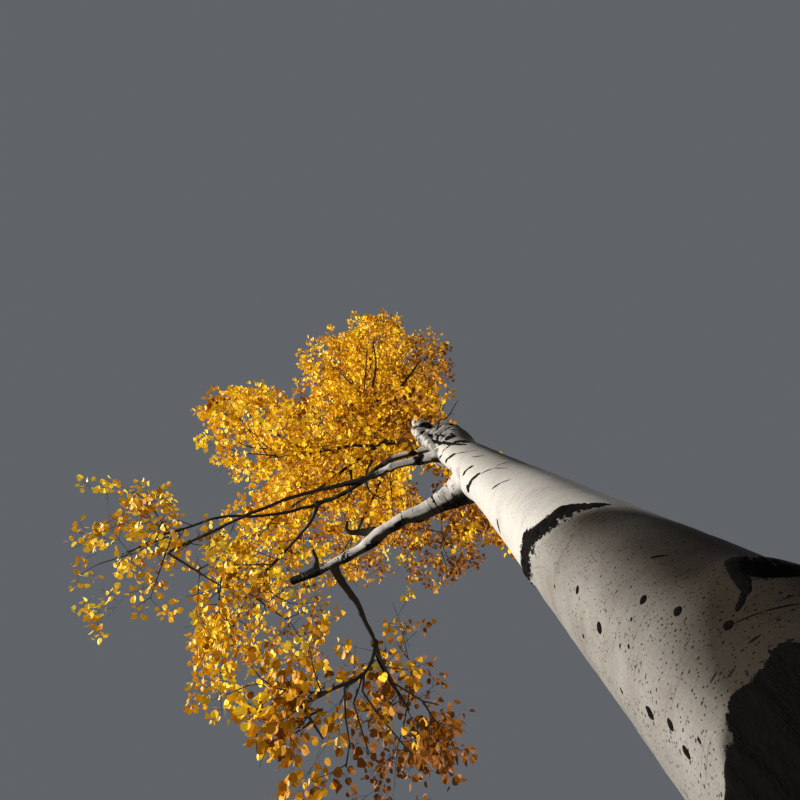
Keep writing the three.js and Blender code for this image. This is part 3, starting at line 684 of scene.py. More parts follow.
LEAF_TINTS = [
    ("russet_leaf", (0.17, 0.056, 0.003)),
    ("brown_leaf", (0.29, 0.112, 0.004)),
    ("amber_leaf", (0.45, 0.205, 0.006)),
    ("deep_gold_leaf", (0.6, 0.315, 0.009)),
    ("gold_leaf", (0.71, 0.425, 0.01)),
    ("lemon_leaf", (0.79, 0.53, 0.014)),
    ("pale_leaf", (0.85, 0.62, 0.045)),
]


def leaf_material(name, tint):
    """A plain tint with a soft shine, and a faint glow of it: painted light for the light that a thin leaf
    lets through.
    """
    material, shader = new_material(name)
    shader.inputs["Base Color"].default_value = colour(*tint)
    shader.inputs["Roughness"].default_value = 0.45
    shader.inputs["Specular IOR Level"].default_value = 0.12
    shader.inputs["Emission Color"].default_value = colour(*tint)
    shader.inputs["Emission Strength"].default_value = 0.06
    return material


# The dusky colours also paint shade: on the trunk below the ring and high in the crown, on the boughs on the
# side away from the sun. The boughs' pale colour shows only on the side towards the sun, as painted light.
trunk_bark = bark_material("trunk_bark", colour(0.72, 0.705, 0.665), colour(0.27, 0.256, 0.235), 0.003)
bough_bark = bark_material("bough_bark", colour(0.86, 0.83, 0.77), colour(0.045, 0.034, 0.026), 0.002)
twig_bark = twig_material()
leaf_tints = [leaf_material(name, tint) for name, tint in LEAF_TINTS]


# Trunk

trunk_course = Course(TRUNK_COURSE)
trunk_places = trunk_course.at(np.linspace(0, 1, 4001))

CAMERA_SIDE, SUNNY_SIDE, SMOOTH_SIDE = -150, -178, 140


def trunk_centre(height):
    """The middle of the trunk's level section at each height, read along its course."""
    return np.stack([np.interp(height, trunk_places[:, 2], trunk_places[:, axis]) for axis in range(3)], -1)


def trunk_radius(height, angle):
    """A straight taper, a bell-shaped butt, a bell-shaped swelling at the whorl, and a flare that dies away
    upwards, with five lobes at the foot."""
    near_foot = np.exp(-height / ROOT_FALL)
    taper = TRUNK_CORE * (1 - height / TRUNK_CORE_TOP) + BUTT * bell(height, BUTT_HEIGHT)
    swelling = WHORL_SWELL * bell(height - WHORL_HEIGHT, WHORL_SPREAD)
    lobe = 1 + ROOT_LOBE_SWELL * near_foot * np.cos(ROOT_LOBES * angle)
    return (taper + swelling + ROOT_FLARE * near_foot) * lobe


def out_from_trunk(places):
    """How far places lie from the trunk's skin, level and straight out, and on which side of it."""
    out = places[:, :2] - trunk_centre(places[:, 2])[:, :2]
    angle = np.arctan2(out[:, 1], out[:, 0])
    return np.hypot(out[:, 0], out[:, 1]) - trunk_radius(places[:, 2], angle), angle


def apart_round(angle, centre):
    """The signed turn from one angle to another, the short way round."""
    return (angle - centre + math.pi) % FULL_TURN - math.pi


def turn_from(side, angle):
    """Degrees from a side of the trunk to each angle, from -180 to 180."""
    return np.degrees(apart_round(angle, math.radians(side)))


# Boughs' courses, and where they leave the trunk

courses = {}
for bough_name, bough in BOUGHS.items():
    root = [tuple(trunk_centre(np.array(bough.height)))] if bough.height else []
    courses[bough_name] = Course(root + bough.bends)


def find_bough_exits():
    """Where each bough leaves the trunk: height and angle on its skin, and the bough's radius there."""
    exits = []
    for name, bough in BOUGHS.items():
        if bough.parent == "trunk":
            run = courses[name].at(np.linspace(0, 0.6, 400))
            beyond, angle = out_from_trunk(run)
            first = int(np.argmax(beyond > 0))
            exits.append((run[first, 2], angle[first], bough.base))
    return exits


bough_exits = find_bough_exits()

# The corky ring: the height of its middle line on the sunny side, how much lower that is for each degree
# round, how many degrees it reaches to each side, and half its width.

RING_HEIGHT, RING_FALL, RING_REACH, RING_HALF = 1.852, 0.0016, 82, 0.044


def ring_field(height, angle, skin):
    """The ring of corky scarring: 1 on its middle line, which climbs to the left, and 0 at its uneven edges;
    it thins out towards both ends as a half circle does."""
    turn = turn_from(SUNNY_SIDE, angle)
    line = RING_HEIGHT - RING_FALL * turn + 0.004 * np.sin(turn / 7.0) + 0.009 * noise(skin, 0.045)
    round_end = np.sqrt(np.clip(1 - (turn / RING_REACH) ** 2, 0, 1))
    half = RING_HALF * round_end * (1 + 0.3 * noise(skin, 0.03)) + 1e-4
    inside = 1 - np.abs(height - line) / half
    return np.where(np.abs(turn) < RING_REACH, np.maximum(inside, -1.0), -1.0)


# An old branch scar's collar and its sunken middle, in the scar's own size: how far the collar stands out,
# where it lies and its spread, and how far the middle sinks and its spread.

EYE_COLLAR, EYE_COLLAR_PLACE, EYE_COLLAR_SPREAD = 0.3, 0.9, 0.8
EYE_SINK, EYE_SINK_SPREAD = 0.4, 0.7


def eye_fields(height, angle, radius):
    """Old branch scars: how deep each place lies in the dark eye, and the swelling of the collar round it,
    which is a bell curve on the eye's edge less one in its middle."""
    dark, swell = np.full(height.shape, -1.0), np.zeros(height.shape)
    for tall, side, half_wide, half_tall in EYES:
        wide = radius * apart_round(angle, math.radians(side)) / half_wide
        high = (height - tall) / half_tall
        out = np.sqrt(wide**2 + high**2)
        dark = np.maximum(dark, 1 - out)
        swell += (EYE_COLLAR * half_tall * bell(out - EYE_COLLAR_PLACE, EYE_COLLAR_SPREAD)
                  - EYE_SINK * half_tall * bell(out, EYE_SINK_SPREAD))
    return np.maximum(dark, -1.0), swell


# The collar under each bough, in the bough's radii: its spread aside, above and below, and its swell.

COLLAR_ASIDE, COLLAR_ABOVE, COLLAR_BELOW, COLLAR_SWELL = 1.5, 1.6, 2.4, 0.42


def collar_field(height, angle, radius):
    """Bell-shaped swellings of the trunk under its boughs, a little longer below the bough than above it,
    and how near each place is to one."""
    swell, near_bough = np.zeros(height.shape), np.zeros(height.shape)
    for tall, side, base in bough_exits:
        wide = radius * apart_round(angle, side) / (COLLAR_ASIDE * base)
        high = (height - tall) / np.where(height > tall, COLLAR_ABOVE * base, COLLAR_BELOW * base)
        near = np.exp(-(wide**2 + high**2))
        swell += COLLAR_SWELL * base * near
        near_bough = np.maximum(near_bough, near)
    return swell, near_bough


# The black foot: the height of its edge in front, how much lower that is for each degree past a turn, and
# for how many degrees.

FOOT_EDGE, FOOT_EDGE_SLOPE, FOOT_SLOPE_TURN, FOOT_SLOPE_REACH = 1.165, 0.0018, -15, 30


def foot_fields(height, turn, behind, skin):
    """The black furrowed foot: the height of its edge, and how deep each place lies in it. The edge has
    tongues of noise in four sizes, and behind the tree it is lower, softer and patchy."""
    edge = FOOT_EDGE - FOOT_EDGE_SLOPE * np.clip(FOOT_SLOPE_TURN - turn, 0, FOOT_SLOPE_REACH)
    edge = edge + behind * (0.3 * noise(skin, 0.35) - 0.3)
    tongues = (0.006 * noise(skin, (0.03, 0.03, 0.3)) + 0.018 * noise(skin, 0.03)
               + 0.008 * noise(skin, 0.014) + 0.25 * behind * noise(skin, (0.04, 0.04, 0.5)))
    patchy = behind * (0.9 * noise(skin, (0.05, 0.05, 0.3)) + 0.5 * noise(skin, (0.02, 0.02, 0.1)))
    return edge, np.clip((edge + tongues - height) / (0.022 + 0.2 * behind) + patchy, -1, 1)


# The whorl's wrinkles and knuckles: the height of their middle, their spread, and the span of heights over
# which they set in. Then the wrinkles' spacing, wave and noise, and the spacing of the folds under boughs.

WRINKLED_HEIGHT, WRINKLED_SPREAD, WRINKLED_FROM = 3.47, 0.17, (3.2, 3.36)
WRINKLE_SPACING, WRINKLE_WAVE, WRINKLE_NOISE, FOLD_SPACING = 0.055, 0.02, 0.03, 0.02


def whorl_fields(height, angle, skin):
    """How near each place is to the whorl, its wrinkles, a sine of the height that a wave and a noise bend,
    and its knuckles, a noise in two sizes."""
    near = bell(height - WRINKLED_HEIGHT, WRINKLED_SPREAD) * smooth_step(height, *WRINKLED_FROM)
    bent = height + WRINKLE_WAVE * np.sin(2 * angle + 1) + WRINKLE_NOISE * noise(skin, 0.08)
    return near, np.sin(FULL_TURN * bent / WRINKLE_SPACING), noise(skin, 0.1) + 0.6 * noise(skin, 0.05)


# How far each form stands out of the trunk's skin: plain waves, level waves, the ring and its noise, the
# foot's bark and its furrows, the whorl's wrinkles and knuckles, and the folds under the boughs.

WAVES, LEVEL_WAVES, RING_STAND, RING_NOISE = 0.0025, 0.0012, 0.003, 0.006
FOOT_STAND, FURROWS, WRINKLES, KNUCKLES, FOLDS = 0.004, 0.0075, 0.009, 0.019, 0.0022

# Degrees from the camera's side over which the back of the trunk sets in, and from the whorl's smooth side
# over which that gives way. The relief dies down over this many metres below the tip.

BEHIND_SPAN, SMOOTH_SPAN, CALM_TIP = (40, 110), (75, 45), 2.0


def trunk_surface(height, angle):
    """The trunk's skin at any height and angle, its spokes, and the fields that its bark reads. The skin is
    the course's middle plus the radius and the relief, straight out along the spoke. The relief adds up
    swellings, wrinkles and furrows, dies down towards the tip, and is less where the whorl is smooth."""
    radius = trunk_radius(height, angle)
    spoke = np.stack([np.cos(angle), np.sin(angle), np.zeros(angle.shape)], -1)
    skin = trunk_centre(height) + spoke * radius[..., None]
    turn = turn_from(CAMERA_SIDE, angle)
    behind = smooth_step(np.abs(turn), *BEHIND_SPAN)

    ring = ring_field(height, angle, skin)
    eyes, eye_swell = eye_fields(height, angle, radius)
    collar_swell, near_bough = collar_field(height, angle, radius)
    foot_edge, foot = foot_fields(height, turn, behind, skin)
    whorl, wrinkle, knuckles = whorl_fields(height, angle, skin)
    furrows = noise(skin, (0.028, 0.028, 0.16)) + 0.6 * noise(skin, (0.012, 0.012, 0.05))
    relief = (
        WAVES * noise(skin, 0.25) + LEVEL_WAVES * noise(skin, (0.3, 0.3, 0.03))
        + smooth_step(ring, -0.1, 0.5) * (RING_STAND + RING_NOISE * noise(skin, (0.022, 0.022, 0.016)))
        + smooth_step(foot, -0.2, 0.8) * (FOOT_STAND + FURROWS * furrows)
        + whorl * (WRINKLES * wrinkle + KNUCKLES * knuckles)
        + FOLDS * near_bough * np.sin(FULL_TURN * height / FOLD_SPACING)
        + eye_swell + collar_swell
    )
    relief *= smooth_step(TRUNK_TOP - height, 0.0, CALM_TIP) * 0.7 + 0.3
    relief = np.where(height > TRUNK_TOP - 1, relief * 0.3, relief)
    smooth_side = smooth_step(np.abs(turn_from(SMOOTH_SIDE, angle)), *SMOOTH_SPAN)
    relief -= 0.9 * WHORL_SWELL * smooth_side * bell(height - WHORL_HEIGHT, WHORL_SPREAD)

    # Creases: black in the troughs of the whorl's wrinkles and knuckles, painted shade in those hollows.
    creases = 0.9 * (-wrinkle - 0.5 * knuckles) * whorl - 0.5 + 0.3 * noise(skin, 0.03)
    fold_scar = np.where(near_bough > 0.35, 0.75 * np.sin(FULL_TURN * height / FOLD_SPACING + 1.5) - 0.7, -1)
    fields = {"scar": np.maximum.reduce([ring, eyes, foot, creases, fold_scar]),
              **tint_fields(height, angle, turn, skin, foot_edge, behind, whorl)}
    return skin + spoke * relief[..., None], spoke, fields


# Painted shade: below a height on the sunny side, which falls round the trunk as the ring does, the bark
# is painted duskier and darker all over. Painted shade on the side away from the sun sets in and ends over
# two spans of degrees from the camera's side, and the shade goes no darker than the last number.

PAINTED_SHADE_HEIGHT = 1.88
AWAY_START, AWAY_END = (-28, 36), (125, 66)
DARKEST = 0.97


def tint_fields(height, angle, turn, skin, foot_edge, behind, whorl):
    """Where the trunk's bark is dusky, darkened by painted shade towards brown, and flecked: sums of smooth
    steps of the height and of the turn from the camera's side, and of noise. The dusk is painted shade
    below the ring and high in the crown, an uneven tone, and the grey ridges of the foot; the shade is
    painted shade all through."""
    sunny_turn = turn_from(SUNNY_SIDE, angle)
    fade = 0.1 + 0.2 * smooth_step(np.abs(sunny_turn), 70, 130)
    below_ring = smooth_step(PAINTED_SHADE_HEIGHT - height - RING_FALL * sunny_turn, 0, fade)
    away_from_sun = smooth_step(turn, *AWAY_START) * smooth_step(turn, *AWAY_END)
    dusk = (0.9 * below_ring + 0.35 * smooth_step(height, 3.6, 5.0) + 0.12 * noise(skin, 0.3)
            + 2.5 * smooth_step(foot_edge - 0.06 - height, 0, 0.1))

    # Painted shade, each term darkening the bark towards the shadow colour: away from the sun, low down on
    # the right, on the black foot in front, at the whorl's right and at the right edge above the ring.
    own_shade = (0.22 + 0.24 * smooth_step(height, 2.0, 2.7) + 0.72 * below_ring - 0.42 * whorl
                 + 0.08 * noise(skin, 0.1))
    low_shade = 0.5 * smooth_step(height, 1.34, 1.18) * smooth_step(turn, -26, 2)
    foot_shade = 0.9 * smooth_step(foot_edge - height, -0.01, 0.02) * (1 - behind)
    whorl_shade = 0.6 * whorl * smooth_step(turn, 48, 84)
    edge_shade = 0.55 * smooth_step(turn, 44, 80) * smooth_step(turn, 140, 108)
    edge_shade = edge_shade * smooth_step(height, 1.95, 2.5)
    shade = away_from_sun * own_shade + low_shade + foot_shade + whorl_shade + edge_shade

    flecks = (0.3 + 0.34 * below_ring + 0.2 * smooth_step(height, 1.5, 1.1)
              + 0.22 * smooth_step(height, 1.27, 1.18) + 0.12 * noise(skin, 0.16)
              + 0.1 * away_from_sun * below_ring + 0.14 * noise(skin, 0.05))
    return {"dusk": dusk, "shade": np.clip(shade, 0, DARKEST), "flecks": flecks}


# Rows of the trunk's skin, from one height to the next and how many, closest where the camera is near;
# columns round it, and how far they crowd towards the camera's side.

ROW_STEPS = [(0.0, 1.0, 80), (1.0, 2.0, 190), (2.0, 3.0, 120), (3.0, 3.9, 140), (3.9, TRUNK_TOP, 70)]
COLUMNS, CROWDING = 160, 0.4


def make_trunk():
    """The trunk's skin on a grid of height and angle, its columns crowded towards the camera's side."""
    rows = np.concatenate([np.linspace(low, high, count, endpoint=False) for low, high, count in ROW_STEPS]
                          + [[TRUNK_TOP]])
    even = np.arange(COLUMNS) * FULL_TURN / COLUMNS
    columns = even - CROWDING * np.sin(even - math.radians(CAMERA_SIDE))
    height, angle = np.meshgrid(rows, columns, indexing="ij")
    points, _, fields = trunk_surface(height, angle)
    points = np.vstack([points.reshape(-1, 3), trunk_centre(rows[:1]), trunk_centre(rows[-1:])])
    fields = {name: np.append(values.ravel(), [-1.0, -1.0]) for name, values in fields.items()}
    piece = put_mesh("trunk_skin", points, closed_tube_faces(len(rows), COLUMNS), [trunk_bark], smooth=True,
                     fields=fields)
    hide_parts("trunk")


# A mark's lens, in its own half thickness: how far it runs on past its stroke, its half width, its height
# out of the skin as a share of that, and the step between its rings. Then how many sides a ring has.

MARK_OVERRUN, MARK_WIDTH, MARK_STAND, MARK_RING_STEP, MARK_SIDES = 0.8, 0.84, 0.16, 0.35, 12


def make_mark(number, mark):
    """A flat lens along a short stroke on the trunk. At a share s of the stroke its half width is the
    mark's own times the root of 1 - (2s - 1)^2, made uneven. It stands a sixth of that out of the skin."""
    low, low_side, high, high_side, half = mark
    around = trunk_radius(np.array(0.5 * (low + high)), np.radians(0.5 * (low_side + high_side)))
    start = np.array([around * math.radians(low_side), low])
    end = np.array([around * math.radians(high_side), high])
    length = np.linalg.norm(end - start)
    along = (end - start) / length
    start, end = start - MARK_OVERRUN * half * along, end + MARK_OVERRUN * half * along
    rings = int(np.linalg.norm(end - start) / (MARK_RING_STEP * half)) + 8
    share = np.linspace(0, 1, rings)[:, None]
    turn = np.arange(MARK_SIDES) * FULL_TURN / MARK_SIDES
    own_place = np.broadcast_arrays(9.0 * number + share * length / half, np.cos(turn), np.sin(turn))
    uneven = 1 + 0.5 * noise(np.stack(own_place, -1), 0.8)
    wide = MARK_WIDTH * half * np.sqrt(1 - (2 * share - 1) ** 2 * 0.999) * uneven
    aside = np.array([-along[1], along[0]])
    flat = start + (end - start) * share[..., None] + (wide * np.cos(turn))[..., None] * aside
    points, spoke, fields = trunk_surface(flat[..., 1], flat[..., 0] / around)
    points = points + spoke * (MARK_STAND * wide * np.sin(turn))[..., None]
    points = np.vstack([points.reshape(-1, 3), points[:1].mean(1), points[-1:].mean(1)])
    return points, closed_tube_faces(rings, MARK_SIDES), with_poles(fields["shade"])


def with_poles(values):
    """A field's values ring by ring, then the mean of the first ring and of the last for the poles."""
    return np.append(values.ravel(), [values[0].mean(), values[-1].mean()])


def make_trunk_marks():
    """Black knots and level scars, and one painted shadow under the whorl's rim, joined into one piece."""
    marks = [make_mark(number, mark) for number, mark in enumerate(MARKS)]
    points, faces = joined([(points, faces) for points, faces, _ in marks])
    plain = np.zeros(len(points))
    fields = {"scar": plain + 1, "dusk": plain, "flecks": plain,
              "shade": np.concatenate([shade for _, _, shade in marks])}
    piece = put_mesh("trunk_marks", points, faces, [trunk_bark], smooth=True, fields=fields)


# Boughs

# A bough's skin: metres from ring to ring, sides, and how far it crooks, in radii of its base.

Skin = namedtuple("Skin", "step sides crook")
PLAIN_SKIN, FINE_SKIN = Skin(0.016, 10, 0.34), Skin(0.009, 14, 0.45)
SKINS = {"low_bough": Skin(0.004, 22, 0.14), "long_bough": FINE_SKIN, "hanging_bough": FINE_SKIN,
         "twin_bough": FINE_SKIN}

# How much more some boughs' skins thin out than the solids do, and the height above which all boughs keep
# only a share of their radius.

THINNER = {"hanging_bough": 0.35, "long_bough": 0.3, "twin_bough": 0.3}
HIGH_BOUGH, HIGH_BOUGH_SHARE = 3.8, 0.82

# Where the low bough's stubs stand, it swells by a share of its radius, as a bell of some spread.

STUB_SWELLS = [(0.3, 0.045), (0.22, 0.03)]

# How a bough swells at its foot: by what share of its radius, and over how many radii of its base that
# dies away.

LOW_BOUGH_FOOT, TRUNK_BOUGH_FOOT, OTHER_BOUGH_FOOT = (1.15, 1.9), (0.75, 1.3), (0.5, 2.5)

# How far along a bough its bark is pale, and how far round the pale side reaches. The pale shows only on
# the side towards the sun, as painted light, and the side away is dusky, as painted shade; the sunny way
# is where that light comes from. Other boughs on the trunk are pale at the foot, and those on a bough
# nowhere. No bough has scars on its plain foot.

PALE_REACH = {"low_bough": (0.98, 0.12), "long_bough": (0.5, 0.4), "twin_bough": (0.36, 0.2)}
OTHER_PALE_REACH = 0.12
SUNNY = np.array([-0.45, -0.8, 0.25])
PLAIN_FOOT = 0.04

# How far along a bough the collar ends. Two boughs have a bumpy heel at a place past it, with a spread.

COLLAR_END = 0.12
HEELED, HEEL_PLACE, HEEL_SPREAD = ("long_bough", "twin_bough"), 0.07, 0.05

# The low bough: where past the collar its black folds lie, their spacing, and the share of the bough from
# which its end turns black.

LOW_FOLDS, LOW_FOLD_SPACING, BLACK_END = (-0.005, 0.11), 0.026, 0.82

# Old twig scars: the metres of a bough for each, the shares of a bough between which they lie, how far they
# swell as a share of its radius, and how much of that they have on the low bough.

KNOT_SPACING, KNOT_SHARES, KNOT_SWELLS, LOW_BOUGH_KNOTS = 0.06, (0.1, 0.97), (0.1, 0.45), 0.3


def bough_rings(name):
    """Shares along a bough, the places there, two directions across it, its radius and its number of sides.
    The bark crooks a little from side to side between the ends, and the foot swells where it leaves its
    parent, as e to the power of minus the distance."""
    bough, course, grade = BOUGHS[name], courses[name], SKINS.get(name, PLAIN_SKIN)
    share = np.linspace(0, 1, int(course.length / grade.step) + 1)
    places = course.at(share)
    ahead = course.ahead(share)
    level = unit(np.cross(UP, places[-1] - places[0]))
    side = unit(level - (ahead @ level)[:, None] * ahead)
    across = np.cross(ahead, side)
    radius = bough.base + (bough.tip - bough.base) * np.sqrt(share)
    radius *= HIGH_BOUGH_SHARE if course.points[1, 2] > HIGH_BOUGH else 1
    radius *= 1 - THINNER.get(name, 0) * smooth_step(share, 0.2, 0.8)
    if name == "low_bough":
        for (stub, _, _), (swell, spread) in zip(SIDE_TWIGS, STUB_SWELLS):
            nearest = share[np.argmin(np.linalg.norm(places - np.array(stub[0]), axis=1))]
            radius *= 1 + swell * bell((share - nearest) * course.length, spread)
    calm_ends = np.sin(math.pi * share) ** 0.6
    crook_aside, crook_across = (noise(places + shift, 0.16) + 0.5 * noise(places + shift, 0.06)
                                 for shift in (0, 5.0))
    places = places + (calm_ends[:, None] * grade.crook * bough.base
                       * (crook_aside[:, None] * side + crook_across[:, None] * across))
    if bough.parent == "trunk":
        beyond, _ = out_from_trunk(places)
        swell, fall = LOW_BOUGH_FOOT if name == "low_bough" else TRUNK_BOUGH_FOOT
        radius = radius * (1 + swell * np.exp(-np.clip(beyond + 0.01, 0, None) / (fall * bough.base)))
    else:
        swell, fall = OTHER_BOUGH_FOOT
        radius = radius * (1 + swell * np.exp(-share * course.length / (fall * bough.base)))
    return share, places, side, across, radius, grade.sides


def twig_knots(name, share, radius, angle):
    """Swellings at old twig scars: bell-shaped bumps at seeded places along and round the bough."""
    draws = np.random.default_rng(sum(map(ord, name)))
    length = courses[name].length
    strength = LOW_BOUGH_KNOTS if name == "low_bough" else 1
    knots = np.zeros((len(share), len(angle)))
    for _ in range(int(length / KNOT_SPACING)):
        at, turn = draws.uniform(*KNOT_SHARES), draws.uniform(0, FULL_TURN)
        along = (share - at)[:, None] * length / (0.9 * radius[:, None])
        out = np.hypot(along, apart_round(angle, turn)[None] * 1.2)
        knots += draws.uniform(*KNOT_SWELLS) * strength * np.exp(-(out**2))
    return knots


def make_bough(name):
    """A tube along the bough's course: at each share and angle, its middle plus the radius times one and
    the relief, which adds up swellings at old twig scars, ridges of noise, and on two a bumpy heel."""
    share, places, side, across, radius, sides = bough_rings(name)
    angle = np.arange(sides) * FULL_TURN / sides
    spokes = side[:, None] * np.cos(angle)[:, None] + across[:, None] * np.sin(angle)[:, None]
    skin = places[:, None] + spokes * radius[:, None, None]
    past_collar = (share * courses[name].length)[:, None] - COLLAR_END
    heel = bell(past_collar - HEEL_PLACE, HEEL_SPREAD)
    ridges = 0.05 * noise(skin, 0.02) + 0.09 * noise(skin, 0.05)
    if name in HEELED:
        ridges = ridges + heel * (0.12 + 0.3 * noise(skin, 0.035))
    swell = 1 + twig_knots(name, share, radius, angle) + ridges
    points = places[:, None] + spokes * (radius[:, None] * swell)[..., None]
    blunt_end = places[-1:] + 0.15 * radius[-1] * unit(places[-1:] - places[-2:-1])
    points = np.vstack([points.reshape(-1, 3), places[:1], blunt_end])
    fields = bough_fields(name, share, spokes, skin, past_collar, heel)
    return points, closed_tube_faces(len(share), sides), fields


def bough_fields(name, share, spokes, skin, past_collar, heel):
    """What a bough's bark reads. Within the pale reach it is pale where its skin faces the sun, as the
    spoke times the sunny direction tells, which is painted light, and dusky on the other side, which is
    painted shade; past the pale reach it is dusky all round. Scars are cracks across it, and black
    patches on the side away from the sun, which are painted shade. The low bough has black folds at its
    foot and a black end, and a heel has blotches."""
    out = share * courses[name].length
    reach, lean = PALE_REACH.get(name, (OTHER_PALE_REACH if BOUGHS[name].parent == "trunk" else 0.0, 0.0))
    facing = SUNNY[0] * spokes[..., 0] + SUNNY[1] * spokes[..., 1] + SUNNY[2] * spokes[..., 2] + lean
    pale_here = (reach > 0) * (1 - smooth_step(out, 0.8 * reach, reach + 1e-6)[:, None])
    patches = noise(skin, 0.07) + 0.6 * noise(skin, 0.03)
    # Painted light and shade: lit is 1 where the skin faces the sun and 0 where it faces away.
    lit = smooth_step(facing + 0.25 * patches, -0.12, 0.04)
    bands = noise(np.broadcast_to(out[:, None, None] + np.zeros(3), skin.shape), 0.03)
    cracks = 0.6 * noise(skin, 0.03) + 0.75 * bands - 0.72
    scar = np.maximum(cracks, np.where(lit < 0.5, 0.5 * noise(skin, 0.05) - 0.1, -1.0))
    if name == "low_bough":
        bent = past_collar + 0.012 * noise(skin, 0.06)
        folds = 5 * np.sin(FULL_TURN * bent / LOW_FOLD_SPACING) - 4.4 + 0.5 * noise(skin, 0.06)
        start, end = LOW_FOLDS
        folds = np.where((past_collar > start) & (past_collar < end), np.clip(folds, -1, 1), -1)
        scar = np.maximum(scar, folds)
        scar = np.maximum(scar, 3 * (share[:, None] - BLACK_END) + 0.4 * noise(skin, 0.05))
    if name in HEELED:
        blotches = 0.42 + 1.5 * noise(skin, 0.03) + 0.8 * noise(skin, 0.013)
        scar = np.maximum(scar, heel * blotches - 1.3 * (1 - heel))
    scar = np.where((out < PLAIN_FOOT)[:, None], -1.0, scar)
    fields = {"scar": scar, "dusk": 1.25 - 1.2 * pale_here * lit, "flecks": np.full(scar.shape, 0.4)}
    return {field: with_poles(values) for field, values in fields.items()}


# A side twig: the metres between its rings, how far it crooks in radii of its base, how its foot swells as
# a bough's does, and its sides.

SIDE_TWIG_STEP, SIDE_TWIG_CROOK, SIDE_TWIG_FOOT, SIDE_TWIG_SIDES = 0.008, 0.25, (0.8, 2.5), 8


def make_side_twigs():
    """Short dead stubs and bare side twigs as crooked tubes that thin evenly along their courses."""
    parts = []
    for course_points, base, tip in SIDE_TWIGS:
        course = Course(course_points)
        share = np.linspace(0, 1, int(course.length / SIDE_TWIG_STEP) + 3)
        places = course.at(share)
        crook = np.stack([noise(places + shift, 0.03) for shift in (0, 3, 7)], -1)
        places = places + SIDE_TWIG_CROOK * base * crook
        swell, fall = SIDE_TWIG_FOOT
        radius = base + (tip - base) * share + swell * base * np.exp(-share * course.length / (fall * base))
        parts.append(tubes(places[None], radius[None], SIDE_TWIG_SIDES))
    return joined(parts)


KNOB_RINGS, KNOB_SIDES = 70, 40
LUMP_HEIGHT, LUMP_WAY = 0.012, np.array([-0.3, -0.3, -0.9])


def make_knobs():
    """Short blunt tubes, lumpy all over: the radius runs evenly from base to tip, times the root of 1 - s^8
    at a share s, and the skin stands out, mostly down, by a noise of lumps whose hollows are black and
    dusky, as painted shade."""
    parts = []
    for course_points, base, tip in KNOBS:
        share = np.linspace(0, 1, KNOB_RINGS)
        radius = (base + (tip - base) * share) * np.sqrt(1 - 0.999 * share**8)
        parts.append(tubes(Course(course_points).at(share)[None], radius[None], KNOB_SIDES))
    points, faces = joined(parts)
    lumps = noise(points, 0.034) + 0.7 * noise(points, (0.03, 0.03, 0.011))
    # Painted shade: the lumps' hollows are black and dusky.
    fields = {"scar": -1.5 * lumps - 0.85, "dusk": 0.3 - 0.8 * lumps, "flecks": np.full(len(points), 0.2)}
    return points + LUMP_HEIGHT * lumps[:, None] * LUMP_WAY, faces, fields


SIDE_TWIG_FIELDS = {"scar": -0.2, "dusk": 1.3, "flecks": 0.4}


def make_boughs():
    """All boughs, the whorl's knobs and the bare side twigs as one piece."""
    built = [make_bough(name) for name in BOUGHS] + [make_knobs()]
    twigs = make_side_twigs()
    points, faces = joined([(points, faces) for points, faces, _ in built] + [twigs])
    fields = {field: np.concatenate([own[field] for _, _, own in built] + [np.full(len(twigs[0]), value)])
              for field, value in SIDE_TWIG_FIELDS.items()}
    piece = put_mesh("bough_skins", points, faces, [bough_bark], smooth=True, fields=fields)
    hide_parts(*BOUGHS, "hanging_bough_end")


# The seeded rule of the solids, carried on to finer twigs and small leaves

SPREAD_STEPS = np.array([0.8191725134, 0.6710436067, 0.5497004779])
TYPICAL_RADIUS = 0.49
TWIG_COUNT, SPRAYS, SPRAY_TRIES, SPRAY_SEED = 4, 74, 5, 100
TWIG_SHELL, SPRAY_SHELL = (0.35, 0.6), (0.42, 1.14)
LONGEST_SPRAY = 0.47
LEAVES_A_TWIGLET, FAR_LEAVES_A_TWIGLET = 8, 10
TWIGLET_RADIUS, PETIOLE_RADIUS = 0.0012, 0.0009
STRAIGHT = np.zeros(3)

# How near a limb's skin each may come, and how far past the solids' box.

SPRAY_CLEARANCE, TWIGLET_CLEARANCE, LEAF_CLEARANCE = 0.024, 0.02, 0.012
SPRAY_ROOM, TWIGLET_ROOM, LEAF_ROOM = -0.01, 0.05, 0.06

# How much deeper in its own space than in any other's each lies, and how far twiglets reach past sprays.

SPRAY_MARGIN, TWIGLET_MARGIN, TWIGLET_REACH = 0.02, -0.03, 0.06

mass_middles = np.array([mass.middle for mass in MASSES])
mass_halves = np.array([mass.half for mass in MASSES])
mass_turns = np.radians([mass.turn for mass in MASSES])


def first_seed(index):
    """The whole number that a mass's own run of seeds starts from, as in the solids."""
    return 500 * (index + 1)


def place_inside(index, seeds, shell):
    """Places in a mass's space from whole-number seeds: three even spreads give how far out, how high and
    which way round, between two shares of the space's half sizes."""
    inner, outer = shell
    depth, polar, around = ((0.5 + np.asarray(seeds)[:, None] * SPREAD_STEPS) % 1).T
    out = np.cbrt(inner**3 + (outer**3 - inner**3) * depth)
    high = 1 - 2 * polar
    flat = np.sqrt(1 - high * high)
    half, turn = mass_halves[index], mass_turns[index]
    x = out * half[0] * flat * np.cos(FULL_TURN * around)
    y = out * half[1] * flat * np.sin(FULL_TURN * around)
    offset = np.stack([x * math.cos(turn) - y * math.sin(turn), x * math.sin(turn) + y * math.cos(turn),
                       out * half[2] * high], -1)
    return mass_middles[index] + offset


